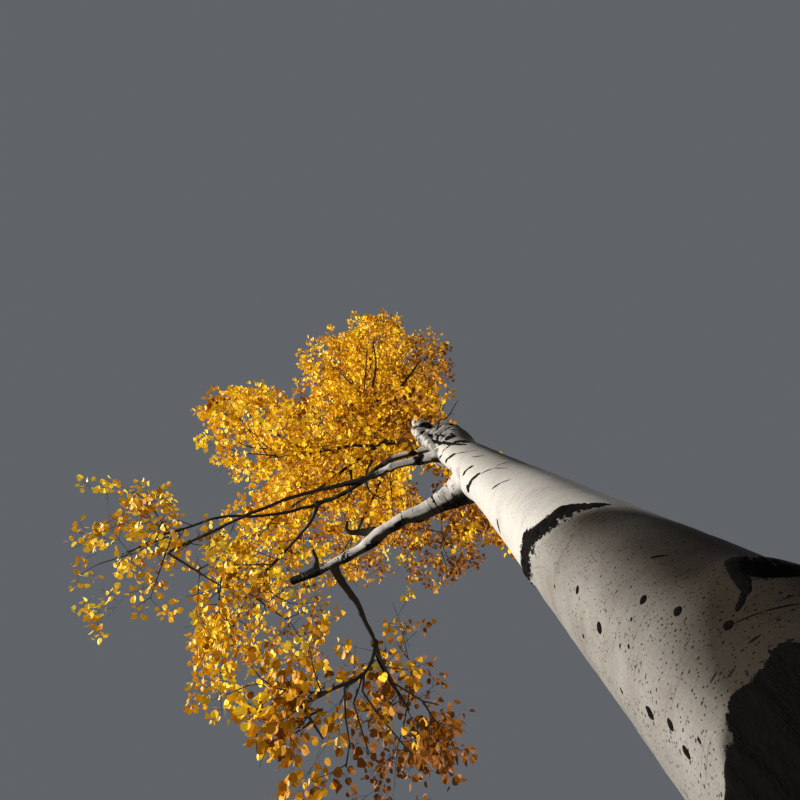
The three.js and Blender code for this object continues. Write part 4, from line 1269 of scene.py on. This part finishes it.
def depths_in(points):
    """How far out each point lies in each mass's space: 0 in the middle and 1 at its edge."""
    away = points[:, None] - mass_middles
    cos, sin = np.cos(mass_turns), np.sin(mass_turns)
    along = away[..., 0] * cos + away[..., 1] * sin
    aside = -away[..., 0] * sin + away[..., 1] * cos
    return np.sqrt((along / mass_halves[:, 0]) ** 2 + (aside / mass_halves[:, 1]) ** 2
                   + (away[..., 2] / mass_halves[:, 2]) ** 2)


def in_own_space(index, points, margin, reach):
    """Whether each point lies within the reach in a mass's space, and deeper in it by a margin than in any
    other's."""
    depths = depths_in(points)
    own = depths[:, index].copy()
    depths[:, index] = np.inf
    return (own <= reach) & (depths.min(1) > own + margin)


def uneven_reach(points):
    """How far out sprays may stand at each point, as an uneven share of the space's half sizes."""
    return 0.9 + 0.2 * noise(points, 0.34) + 0.12 * noise(points, 0.15)


BEAD_STEP, BATCH = 0.025, 2000


def limb_beads():
    """Places along each limb, a step apart, with the limb's radius there."""
    heights = np.arange(0, TRUNK_TOP, BEAD_STEP)
    rows = [np.column_stack([trunk_centre(heights), trunk_radius(heights, 0)])]
    for name, course in courses.items():
        share = np.linspace(0, 1, int(course.length / BEAD_STEP) + 2)
        radius = BOUGHS[name].base + (BOUGHS[name].tip - BOUGHS[name].base) * np.sqrt(share)
        rows.append(np.column_stack([course.at(share), radius]))
    return np.vstack(rows)


beads = limb_beads()


def clear_of_limbs(points, clearance):
    """Whether each point lies farther than the clearance from every limb's skin, batch by batch."""
    clear = np.ones(len(points), bool)
    for low in range(0, len(points), BATCH):
        some = points[low:low + BATCH]
        gap = np.sqrt(((some[:, None] - beads[None, :, :3]) ** 2).sum(-1)) - beads[:, 3]
        clear[low:low + BATCH] = gap.min(1) > clearance
    return clear


LEAST_HEIGHT = 0.2


def in_photo(points):
    """Where points show in the photograph, in pixels right and down from the zenith: the lens times the
    sideways offset from the camera's place over the height above it."""
    away = points - np.array(CAMERA_PLACE)
    high = np.maximum(away[:, 2], LEAST_HEIGHT)
    return LENS_PIXELS * away[:, 0] / high, LENS_PIXELS * away[:, 1] / high


def in_clear_gap(points):
    """Whether points lie where the photograph shows nothing of the tree beside or between its masses."""
    right, down = in_photo(points)
    right, down = ZENITH[0] + right, ZENITH[1] + down
    hidden = np.zeros(len(points), bool)
    for middle_x, middle_y, half_x, half_y in CLEAR_GAPS:
        hidden |= ((right - middle_x) / half_x) ** 2 + ((down - middle_y) / half_y) ** 2 < 1
    start_x, start_y, slope = TRUNK_EDGE
    return hidden | ((right > start_x) & (down < start_y + slope * (right - start_x)))


def in_reach(points, room):
    """Whether points lie in the solids' box, widened by some room."""
    low, high = np.array(cad_box)
    return ((points > low - room) & (points < high + room)).all(1)


# A new twig leans forward by this much of its distance from a stretch, and leaves that between two shares
# of its length.

FORWARD_LEAN, LEAVING_SHARES = 0.8, (0.12, 0.97)


class Stretches:
    """The twigs of one mass as they grow: each has a foot, a tip and the amount it bows, and a radius at
    each end. A place along it is on the chord, plus the bow times 4s(1 - s)."""

    def __init__(self):
        self.feet, self.tips, self.bows, self.thick = [], [], [], []

    def add(self, foot, tip, bow, thick):
        """One more stretch, with its radius at both ends."""
        self.feet.append(foot)
        self.tips.append(tip)
        self.bows.append(bow)
        self.thick.append(thick)

    def add_course(self, places, radii):
        """Straight stretches from each place to the next."""
        for k in range(len(places) - 1):
            self.add(places[k], places[k + 1], STRAIGHT, (radii[k], radii[k + 1]))

    def nearest(self, point):
        """The place from which a new twig reaches a point with the least length, leaning forward as it
        leaves, that length, and the radius there."""
        feet, tips = np.array(self.feet), np.array(self.tips)
        run = tips - feet
        length = np.linalg.norm(run, axis=1)
        away = point - feet
        foot = (away * run).sum(1) / length
        aside = np.sqrt(np.maximum(0, (away * away).sum(1) - foot * foot))
        first, last = LEAVING_SHARES
        along = np.clip(foot - FORWARD_LEAN * aside, first * length, last * length)
        cost = np.linalg.norm(feet + run * (along / length)[:, None] - point, axis=1)
        best = int(np.argmin(cost))
        share = along[best] / length[best]
        place = feet[best] + run[best] * share + np.array(self.bows[best]) * 4 * share * (1 - share)
        base, tip = self.thick[best]
        return place, cost[best], base + (tip - base) * share

    def paths(self, which, rings):
        """Places along some of the stretches, ring by ring."""
        share = np.linspace(0, 1, rings)[None, :, None]
        feet, tips, bows = (np.array(values)[which][:, None] for values in (self.feet, self.tips, self.bows))
        return feet + (tips - feet) * share + bows * 4 * share * (1 - share)

    def radii(self, which, rings):
        """The radius at each ring, which runs evenly from foot to tip."""
        thick = np.array(self.thick)[which]
        return thick[:, :1] + (thick[:, 1:] - thick[:, :1]) * np.linspace(0, 1, rings)

    def tubes(self, which, rings, sides):
        """Some of the stretches as round twigs."""
        return tubes(self.paths(which, rings), self.radii(which, rings), sides)


def sagging(length, sag, sway, draws):
    """How far a twig of some length bows at its middle: down, and a little to any side."""
    return length * np.array([0, 0, -sag]) + sway * length * draws.uniform(-1, 1, 3)


def spiral_round(ahead, count, start, slant):
    """Directions square to the way ahead, each turned on by the golden angle from the one before. The first
    is level, but for a slant that keeps it square to an upright way too."""
    side = unit(np.cross(ahead, UP + slant))
    across = np.cross(ahead, side)
    turn = GOLDEN_ANGLE * np.arange(count) + start
    return side * np.cos(turn)[:, None] + across * np.sin(turn)[:, None]


def leaning(ahead, out, lean):
    """The way ahead turned outwards by a lean in radians."""
    return ahead * np.cos(lean)[:, None] + out * np.sin(lean)[:, None]


# A mass's stem: its radius on the trunk's side and on its tip, how that thins at the bend and the end, and
# how far the bend lies below the straight line, or ahead of the limb's tip, as a share of the length.

STEM_ON_TRUNK, STEM_ON_TIP, STEM_THINNING = 0.014, 0.0086, (1, 0.85, 0.45)
STEM_SAG, STEM_LEAD = 0.2, 0.4

# Radii at both ends of side twigs, twigs and sprays; the most that a twig or a spray has of the radius that
# it stands on; and how they sag and sway, as shares of their length.

FEEDER_THICK, TWIG_THICK, SPRAY_THICK = (0.0055, 0.0028), (0.0062, 0.0035), (0.0034, 0.0013)
TWIG_OF_STEM, SPRAY_OF_TWIG = 0.8, 0.75
TWIG_SAG, SPRAY_SAG = (0.07, 0.04), (0.06, 0.05)


def start_mass(mass):
    """The stem of a mass, from its limb's tip or from the trunk's side through a bend to the mass's middle,
    and the side twigs that feed it."""
    middle = np.array(mass.middle)
    if mass.stem_height is not None:
        root = trunk_centre(np.array(mass.stem_height))
        bend = 0.5 * (root + middle) - STEM_SAG * UP * np.linalg.norm(middle - root)
        thick = STEM_ON_TRUNK
    elif mass.limb == "trunk":
        root = trunk_course.at(1.0)
        bend = root + UP * STEM_LEAD * np.linalg.norm(middle - root)
        thick = STEM_ON_TIP
    else:
        root = courses[mass.limb].at(1.0)
        bend = root + courses[mass.limb].ahead(1.0) * STEM_LEAD * np.linalg.norm(middle - root)
        thick = BOUGHS[mass.limb].tip
    grown = Stretches()
    grown.add_course([root, bend, middle], [thick * share for share in STEM_THINNING])
    for feeder in FEEDERS.get(mass.name, []):
        grown.add_course(np.array(feeder), np.linspace(*FEEDER_THICK, len(feeder)))
    return grown, root


def grow_twigs(index, grown, root, many, draws):
    """A few twigs by the solids' rule: each runs to a place inside the mass, the nearest to the stem's foot
    first, from the stretch that reaches it best."""
    tips = place_inside(index, first_seed(index) + np.arange(round(TWIG_COUNT * many)), TWIG_SHELL)
    for tip in tips[np.argsort(np.linalg.norm(tips - root, axis=1))]:
        place, cost, thick = grown.nearest(tip)
        bow = sagging(cost, *TWIG_SAG, draws)
        grown.add(place, tip, bow, (min(TWIG_THICK[0], TWIG_OF_STEM * thick), TWIG_THICK[1]))


def grow_sprays(index, grown, many, draws):
    """Sprays from the same run of seeds, each from the stretch that reaches its place best, and no longer
    than the longest spray."""
    aims = place_inside(index, first_seed(index) + SPRAY_SEED + np.arange(SPRAY_TRIES * SPRAYS), SPRAY_SHELL)
    aims = aims[in_own_space(index, aims, SPRAY_MARGIN, uneven_reach(aims))
                & clear_of_limbs(aims, SPRAY_CLEARANCE) & in_reach(aims, SPRAY_ROOM) & ~in_clear_gap(aims)]
    for aim in aims[:round(SPRAYS * many)]:
        place, cost, thick = grown.nearest(aim)
        length = min(cost, LONGEST_SPRAY)
        tip = place + (aim - place) * length / max(cost, 1e-6)
        bow = sagging(length, *SPRAY_SAG, draws)
        grown.add(place, tip, bow, (min(SPRAY_THICK[0], SPRAY_OF_TWIG * thick), SPRAY_THICK[1]))


# Masses whose leaves hang low before the camera: their leaves have more points and a stalk each. Two of
# them are seen from right below, and are thinned out less there.

NEAR_MASSES = ("far_left_foliage", "left_foliage", "low_foliage", "low_right_foliage", "centre_left_foliage")
UNDERSIDE_THINNING = {"low_foliage": 0.35, "low_right_foliage": 0.35}
OTHER_UNDERSIDE_THINNING = 0.9

# The spans over which leaves set in from a mass's middle outwards, thin out towards its underside, and
# gather in clumps as a noise rises.

MIDDLE_SPAN, UNDERSIDE_SPAN, CLUMP_SPAN = (0.25, 0.65), (0.1, 0.75), (-0.4, 0.35)


def twiglet_is_clear(heads):
    """Whether a twiglet's tip is clear of the limbs, out of the gaps, and near the solids' box."""
    return clear_of_limbs(heads, TWIGLET_CLEARANCE) & ~in_clear_gap(heads) & in_reach(heads, TWIGLET_ROOM)


def leafy_share(index, heads):
    """What share of the twiglets stays at each place: few in a mass's middle, few on its underside, and
    more in some clumps than in others, times the mass's fullness."""
    mass = MASSES[index]
    under = (mass.middle[2] - heads[:, 2]) / mass.half[2]
    thinning = UNDERSIDE_THINNING.get(mass.name, OTHER_UNDERSIDE_THINNING)
    share = 0.1 + 0.9 * smooth_step(depths_in(heads)[:, index], *MIDDLE_SPAN)
    share *= 1 - thinning * smooth_step(under, *UNDERSIDE_SPAN)
    share *= 0.3 + 0.9 * smooth_step(noise(heads, 0.16) + 0.5 * noise(heads, 0.08), *CLUMP_SPAN)
    return mass.fullness * share


# Painted light: how much brighter a mass's leaves are made at its edge towards the sun than in its middle.

TONE_TILT = 0.2


def grow_mass(index):
    """One mass: its stem and twigs by the solids' rule, then more sprays from the same run of seeds, each
    on the twig that reaches it best, and short twiglets with leaves along each spray."""
    mass = MASSES[index]
    draws = np.random.default_rng(first_seed(index))
    many = (np.cbrt(np.prod(mass.half)) / TYPICAL_RADIUS) ** 2
    grown, root = start_mass(mass)
    grow_twigs(index, grown, root, many, draws)
    stems = np.arange(len(grown.feet))
    grow_sprays(index, grown, many, draws)

    feet, heads, parents = grow_twiglets(grown, np.arange(2, len(grown.feet)), draws)
    keep = in_own_space(index, heads, TWIGLET_MARGIN, uneven_reach(heads) + TWIGLET_REACH)
    keep &= twiglet_is_clear(heads)
    keep &= draws.random(len(heads)) < leafy_share(index, heads)
    feet, heads = feet[keep], heads[keep]
    sprays = np.intersect1d(np.arange(len(stems), len(grown.feet)), parents[keep])
    bright = mass.tone + TONE_TILT * (mass.middle[0] - heads[:, 0]) / mass.half[0]
    leaves, petioles = grow_leaves(feet, heads, bright, mass.name in NEAR_MASSES, draws)
    skins = [grown.tubes(stems, 6, 6), grown.tubes(sprays, 5, 4), spikes(feet, heads, TWIGLET_RADIUS)]
    return joined(skins + petioles), leaves


# Sprays between the masses. On the trunk: heights and their step, and the shortest and longest length.
# Those above the whorl sway round a side of the trunk and rise a little.

UPPER_TRUNK_SPRAYS, WHORL_SPRAYS = (3.74, 8.35, 0.06, 0.17, 0.36), (3.72, 4.7, 0.022, 0.1, 0.26)
WHORL_SPRAY_SIDE, WHORL_SPRAY_SWAY, WHORL_SPRAY_RISE = -165, 60, 0.1

# On a bough: the step from one spray to the next, and the share of the bough at the last one. On a free
# twig: the step, the share at the first one, the lengths, the twig's radii along it, and the radius that
# the feet of its sprays are placed by.

BOUGH_SPRAY_STEP, BOUGH_SPRAY_LAST = 0.055, 0.99
FREE_SPRAY_STEP, FREE_SPRAY_FIRST, FREE_SPRAY_LENGTHS = 0.05, 0.2, (0.08, 0.18)
FREE_TWIG_RADII = 0.005 - 0.0004 * np.arange(9)
FREE_SPRAY_FOOT = 0.002

# All of them: degrees that they lean away from the limb, radii at both ends, sag and sway, how near a limb
# a tip comes, and the share of their twiglets that stays. Leaves above a height are far ones.

LIMB_SPRAY_LEANS, LIMB_SPRAY_THICK, LIMB_SPRAY_SAG = (35, 70), (0.0032, 0.0013), (0.06, 0.06)
LIMB_SPRAY_CLEARANCE, LIMB_TWIGLETS_KEPT, FAR_LEAVES_FROM = 0.03, 0.5, 4.4


def spray_rows():
    """Where the sprays between the masses stand: rows of places on limbs, the limb's radius there, the way
    ahead for each, and the shortest and longest length."""
    low, high, step, shortest, longest = UPPER_TRUNK_SPRAYS
    heights = np.arange(low, high, step)
    upward = np.tile(UP, (len(heights), 1))
    rows = [(trunk_centre(heights), trunk_radius(heights, 0), upward, shortest, longest)]
    low, high, step, shortest, longest = WHORL_SPRAYS
    heights = np.arange(low, high, step)
    sides = np.radians(WHORL_SPRAY_SIDE + WHORL_SPRAY_SWAY * np.sin(7.3 * np.arange(len(heights))))
    outward = np.stack([np.cos(sides), np.sin(sides), np.full(len(sides), WHORL_SPRAY_RISE)], -1)
    rows.append((trunk_centre(heights), trunk_radius(heights, sides), outward, shortest, longest))
    for name, course in courses.items():
        first, shortest, longest = LIMB_SPRAYS.get(name, OTHER_LIMB_SPRAYS)
        count = int(course.length * (BOUGH_SPRAY_LAST - first) / BOUGH_SPRAY_STEP) + 1
        share = np.linspace(first, BOUGH_SPRAY_LAST, count)
        radius = np.full(len(share), 0.5 * BOUGHS[name].tip)
        rows.append((course.at(share), radius, course.ahead(share), shortest, longest))
    for points in FREE_TWIGS:
        course = Course(points)
        share = np.linspace(FREE_SPRAY_FIRST, 1, int(course.length / FREE_SPRAY_STEP) + 2)
        radius = np.full(len(share), FREE_SPRAY_FOOT)
        rows.append((course.at(share), radius, course.ahead(share), *FREE_SPRAY_LENGTHS))
    return rows


def grow_limb_sprays():
    """Leafy sprays between the masses: along the outer part of each bough, round the upper trunk, and along
    a few free twigs. Each leaves its limb forwards, turned on by the golden angle from the last."""
    draws = np.random.default_rng(11)
    grown = Stretches()
    for points in FREE_TWIGS:
        grown.add_course(Course(points).at(np.linspace(0, 1, len(FREE_TWIG_RADII))), FREE_TWIG_RADII)
    stems = np.arange(len(grown.feet))
    for places, radius, ahead, shortest, longest in spray_rows():
        count = len(places)
        out = spiral_round(ahead, count, draws.uniform(0, FULL_TURN), 0.02)
        heading = leaning(ahead, out, np.radians(draws.uniform(*LIMB_SPRAY_LEANS, count)))
        feet = places + out * (0.7 * radius)[:, None]
        tips = places + heading * (radius + draws.uniform(shortest, longest, count))[:, None]
        good = clear_of_limbs(tips, LIMB_SPRAY_CLEARANCE) & ~in_clear_gap(tips) & in_reach(tips, 0.0)
        for foot, tip in zip(feet[good], tips[good]):
            bow = sagging(np.linalg.norm(tip - foot), *LIMB_SPRAY_SAG, draws)
            grown.add(foot, tip, bow, LIMB_SPRAY_THICK)

    feet, heads, parents = grow_twiglets(grown, np.arange(len(stems), len(grown.feet)), draws)
    keep = twiglet_is_clear(heads) & (draws.random(len(heads)) < LIMB_TWIGLETS_KEPT)
    feet, heads = feet[keep], heads[keep]
    skins = [grown.tubes(stems, 3, 6), grown.tubes(np.unique(parents[keep]), 5, 4),
             spikes(feet, heads, TWIGLET_RADIUS)]
    tones = np.array([mass.tone for mass in MASSES])[np.argmin(depths_in(heads), 1)]
    leaves = []
    for near in (True, False):
        some = (heads[:, 2] < FAR_LEAVES_FROM) == near
        made, petioles = grow_leaves(feet[some], heads[some], tones[some], near, draws)
        leaves.append(made)
        skins += petioles
    return joined(skins), leaves


TWIGLET_STEP, TWIGLETS_FROM, TWIGLET_LENGTHS = 0.033, 0.25, (0.045, 0.11)
TWIGLET_LEANS, LAST_LEAN = (38, 68), 8


def grow_twiglets(grown, which, draws):
    """Short twigs along the outer part of each twig: they leave it at about 50 degrees, each turned on by
    the golden angle from the one before, and one runs on from its tip."""
    feet, heads, parents = [], [], []
    for k in which:
        foot, tip, bow = grown.feet[k], grown.tips[k], grown.bows[k]
        count = int(np.linalg.norm(tip - foot) / TWIGLET_STEP) + 2
        share = np.linspace(TWIGLETS_FROM, 1.0, count)
        places = foot + (tip - foot) * share[:, None] + np.outer(4 * share * (1 - share), bow)
        ahead = unit(tip - foot)
        out = spiral_round(ahead, count, draws.uniform(0, FULL_TURN), 0.01)
        lean = np.radians(draws.uniform(*TWIGLET_LEANS, count))
        lean[-1] = np.radians(LAST_LEAN)
        heading = unit(leaning(ahead, out, lean))
        feet.append(places)
        heads.append(places + heading * draws.uniform(*TWIGLET_LENGTHS, count)[:, None])
        parents.append(np.full(count, k))
    return np.vstack(feet), np.vstack(heads), np.concatenate(parents)


# A leaf's length, how far leaves vary round it, and how much of it far and near ones have. Near leaves lose
# a little between two heights. Then how far a blade's sides rise as they go out, and its tip's drop.

LEAF_LENGTH, LEAF_SPREAD, FAR_LEAF_GROWTH, NEAR_LEAF_GROWTH = 0.04, (0.72, 1.15), 0.9, 0.88
NEAR_LEAF_LOSS, LOSS_HEIGHTS = 0.08, (3.2, 3.7)
FOLD_RISE, TIP_DROP = 0.26, 0.07

# A leaf's stalk: its length, how much it goes along with its twiglet, hangs and scatters. Then how much the
# leaf itself hangs and scatters, from which share of a twiglet leaves grow, and what share of them stays.

STALK_LENGTHS, STALK_AHEAD, STALK_HANG, STALK_SCATTER = (0.016, 0.038), 0.55, 0.25, 0.3
LEAF_HANG, LEAF_SCATTER, LEAVES_FROM, LEAVES_KEPT = 0.55, 0.55, 0.2, 0.93

# Half a leaf's outline from stalk to tip: how far along, and how far out, as shares of its length.

LEAF_NEAR_HALF = [(0.03, 0.23), (0.19, 0.45), (0.49, 0.52), (0.8, 0.33)]
LEAF_FAR_HALF = [(0.1, 0.34), (0.42, 0.5), (0.78, 0.3)]


def leaf_blade(half):
    """A leaf's points, along, across and up as shares of its length, and its triangles: a fan from the
    stalk, with both sides risen from the middle as they go out, and a tip that droops."""
    right = [(along, out, FOLD_RISE * out) for along, out in half]
    left = [(along, -out, FOLD_RISE * out) for along, out in half[::-1]]
    points = np.array([(0, 0, 0)] + right + [(1.0, 0, -TIP_DROP)] + left)
    return points, np.array([(0, k, k + 1) for k in range(1, len(points) - 1)])


# One corner of the crown stands in shade in the photograph: how much darker it is, and the spans of pixels
# down and right of the zenith over which the shade sets in. Then how all tints are shifted and scattered.

CORNER_SHADE, CORNER_DOWN, CORNER_RIGHT = 0.34, (250, 340), (-155, -105)
TINT_SHIFT, TINT_SCATTER = 0.06, 0.2


def spray_tints(heads, bright, draws):
    """The number of each spray's tint by its brightness from 0 to 1, made darker in the shaded corner as
    painted shade, with some chance in it.
    """
    right, down = in_photo(heads)
    bright = bright - CORNER_SHADE * smooth_step(down, *CORNER_DOWN) * smooth_step(right, *CORNER_RIGHT)
    tint = (bright - TINT_SHIFT + draws.normal(0, TINT_SCATTER, len(heads))) * len(LEAF_TINTS)
    return np.clip(tint, 0, len(LEAF_TINTS) - 1).astype(int)


def grow_leaves(feet, heads, bright, near, draws):
    """Leaves in sprays. Each stands on a thin stalk off its twiglet, hangs a little, and is a rounded blade
    with a short tip, folded up along its middle: its points are the foot plus its length times (along,
    across and rise) on the leaf's own axes. A spray has one tint, and only near leaves get their stalks."""
    sprays, on_each = len(feet), LEAVES_A_TWIGLET if near else FAR_LEAVES_A_TWIGLET
    run = heads - feet
    share = np.linspace(LEAVES_FROM, 1.0, on_each)[None, :, None]
    places = (feet[:, None] + run[:, None] * share).reshape(-1, 3)
    ahead = np.repeat(unit(run), on_each, axis=0)
    count = len(places)
    first = np.repeat(draws.uniform(0, FULL_TURN, sprays), on_each)
    out = spiral_round(ahead, count, first, 0.013)
    scatter = STALK_SCATTER * draws.normal(size=(count, 3))
    stalk = unit(STALK_AHEAD * ahead + out + np.array([0, 0, -STALK_HANG]) + scatter)
    starts = places + stalk * draws.uniform(*STALK_LENGTHS, count)[:, None]
    along = unit(stalk + np.array([0, 0, -LEAF_HANG]) + LEAF_SCATTER * draws.normal(size=(count, 3)))
    growth = np.full(sprays, FAR_LEAF_GROWTH)
    if near:
        growth = NEAR_LEAF_GROWTH - NEAR_LEAF_LOSS * smooth_step(heads[:, 2], *LOSS_HEIGHTS)
    length = LEAF_LENGTH * draws.uniform(*LEAF_SPREAD, count) * np.repeat(growth, on_each)
    wide = unit(np.cross(along, draws.normal(size=(count, 3))))
    keep = in_reach(starts + along * length[:, None], LEAF_ROOM)
    keep &= clear_of_limbs(starts, LEAF_CLEARANCE) & (draws.random(count) < LEAVES_KEPT)
    tint = np.repeat(spray_tints(heads, bright, draws), on_each)[keep]

    blade, faces = leaf_blade(LEAF_NEAR_HALF if near else LEAF_FAR_HALF)
    axes = np.stack([along, wide, np.cross(along, wide)], 1)[keep]
    points = starts[keep][:, None] + length[keep][:, None, None] * np.einsum("pi,nij->npj", blade, axes)
    triangles = (faces[None] + (np.arange(keep.sum()) * len(blade))[:, None, None]).reshape(-1, 3)
    leaves = (points.reshape(-1, 3), triangles, np.repeat(tint, len(faces)))
    return leaves, [spikes(places[keep], starts[keep], PETIOLE_RADIUS)] if near else []


# Masses whose middle is this high or higher go into the high pieces of leaves, the rest into the low ones.

HIGH_MASSES_FROM = 5.4


def make_foliage():
    """All masses: their twigs as one piece, and their leaves as one piece for each slot and tier."""
    slots = {entry["node"]: entry["material_slot"] for entry in frame["record"]["subparts"]}
    twigs, groups = [], {}
    for index, mass in enumerate(MASSES):
        skin, leaves = grow_mass(index)
        twigs.append(skin)
        tier = "low" if mass.middle[2] < HIGH_MASSES_FROM else "high"
        groups.setdefault((slots[mass.name], tier), []).append((mass.name, leaves))
    skin, (near_leaves, far_leaves) = grow_limb_sprays()
    twigs.append(skin)
    groups[("gold_leaves", "low")].append((None, near_leaves))
    groups[("amber_leaves", "high")].append((None, far_leaves))
    points, faces = joined(twigs)
    piece = put_mesh("twigs", points, faces, [twig_bark], smooth=True)
    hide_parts(*[mass.name for mass in MASSES])
    for (slot, tier), members in groups.items():
        points, faces = joined([(points, faces) for _, (points, faces, _) in members])
        tints = np.concatenate([tints for _, (_, _, tints) in members])
        piece = put_mesh(f"{tier}_{slot}", points, faces, leaf_tints, material_of=tints)
        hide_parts(*[name for name, _ in members if name])


make_trunk()
make_trunk_marks()
make_boughs()
make_foliage()


# Floor, light and camera


FLOOR_HALF, FLOOR_DROP = 400, 0.002


def make_stage():
    """A level square floor a hair under the tree's foot."""
    mesh = bpy.data.meshes.new("floor")
    signs = ((-1, -1), (1, -1), (1, 1), (-1, 1))
    corners = [(x * FLOOR_HALF, y * FLOOR_HALF, -FLOOR_DROP) for x, y in signs]
    mesh.from_pydata(corners, [], [(0, 1, 2, 3)])
    floor = bpy.data.objects.new("floor", mesh)
    bpy.context.scene.collection.objects.link(floor)
    pale, shader = new_material("pale_floor")
    shader.inputs["Base Color"].default_value = colour(0.5, 0.5, 0.5)
    shader.inputs["Roughness"].default_value = 1.0
    shader.inputs["Specular IOR Level"].default_value = 0.0
    mesh.materials.append(pale)


# Lights: the name, the strength, the width in degrees, where it stands, and whether it casts shadows.

LIGHTS = [("sun", 5.0, 3, (-0.93, 0.0, 0.3), True), ("fill", 4.6, 20, (-0.9, 0.05, -0.3), False)]
WARM_LIGHT = (1.0, 0.95, 0.87)


def make_light():
    """A low sun from the left of the view, a soft fill on the leaves alone from lower down, without
    shadows, and an even surround."""
    leaf_pieces = bpy.data.collections.new("leaves_in_fill")
    for piece in bpy.context.scene.objects:
        if piece.name.endswith("_leaves"):
            leaf_pieces.objects.link(piece)
    for name, energy, spread, place, shadows in LIGHTS:
        light = bpy.data.lights.new(name, "SUN")
        light.energy = energy
        light.angle = math.radians(spread)
        light.color = WARM_LIGHT
        light.use_shadow = shadows
        lamp = bpy.data.objects.new(name, light)
        lamp.rotation_euler = Vector(place).to_track_quat("Z", "Y").to_euler()
        bpy.context.scene.collection.objects.link(lamp)
        if not shadows:
            lamp.light_linking.receiver_collection = leaf_pieces
    world = bpy.data.worlds.new("surround")
    bpy.context.scene.world = world
    world.use_nodes = True
    background = world.node_tree.nodes["Background"]
    background.inputs["Color"].default_value = colour(0.56, 0.6, 0.66)
    background.inputs["Strength"].default_value = 0.21


def make_camera():
    """A wide lens looking up, with +X to the right of the picture and +Y down it."""
    camera = bpy.data.cameras.new("camera")
    camera.lens = LENS_MM
    camera.sensor_width = SENSOR_MM
    camera.clip_start = 0.02
    camera.clip_end = 1000
    eye = bpy.data.objects.new("camera", camera)
    ahead = Vector(CAMERA_AHEAD).normalized()
    right = (Vector((1, 0, 0)) - ahead * ahead.x).normalized()
    above = right.cross(ahead)
    turn = Matrix((right, above, -ahead)).transposed().to_4x4()
    eye.matrix_world = Matrix.Translation(CAMERA_PLACE) @ turn
    bpy.context.scene.collection.objects.link(eye)
    bpy.context.scene.camera = eye


make_stage()
make_light()
make_camera()
bpy.context.scene.view_settings.view_transform = "Standard"
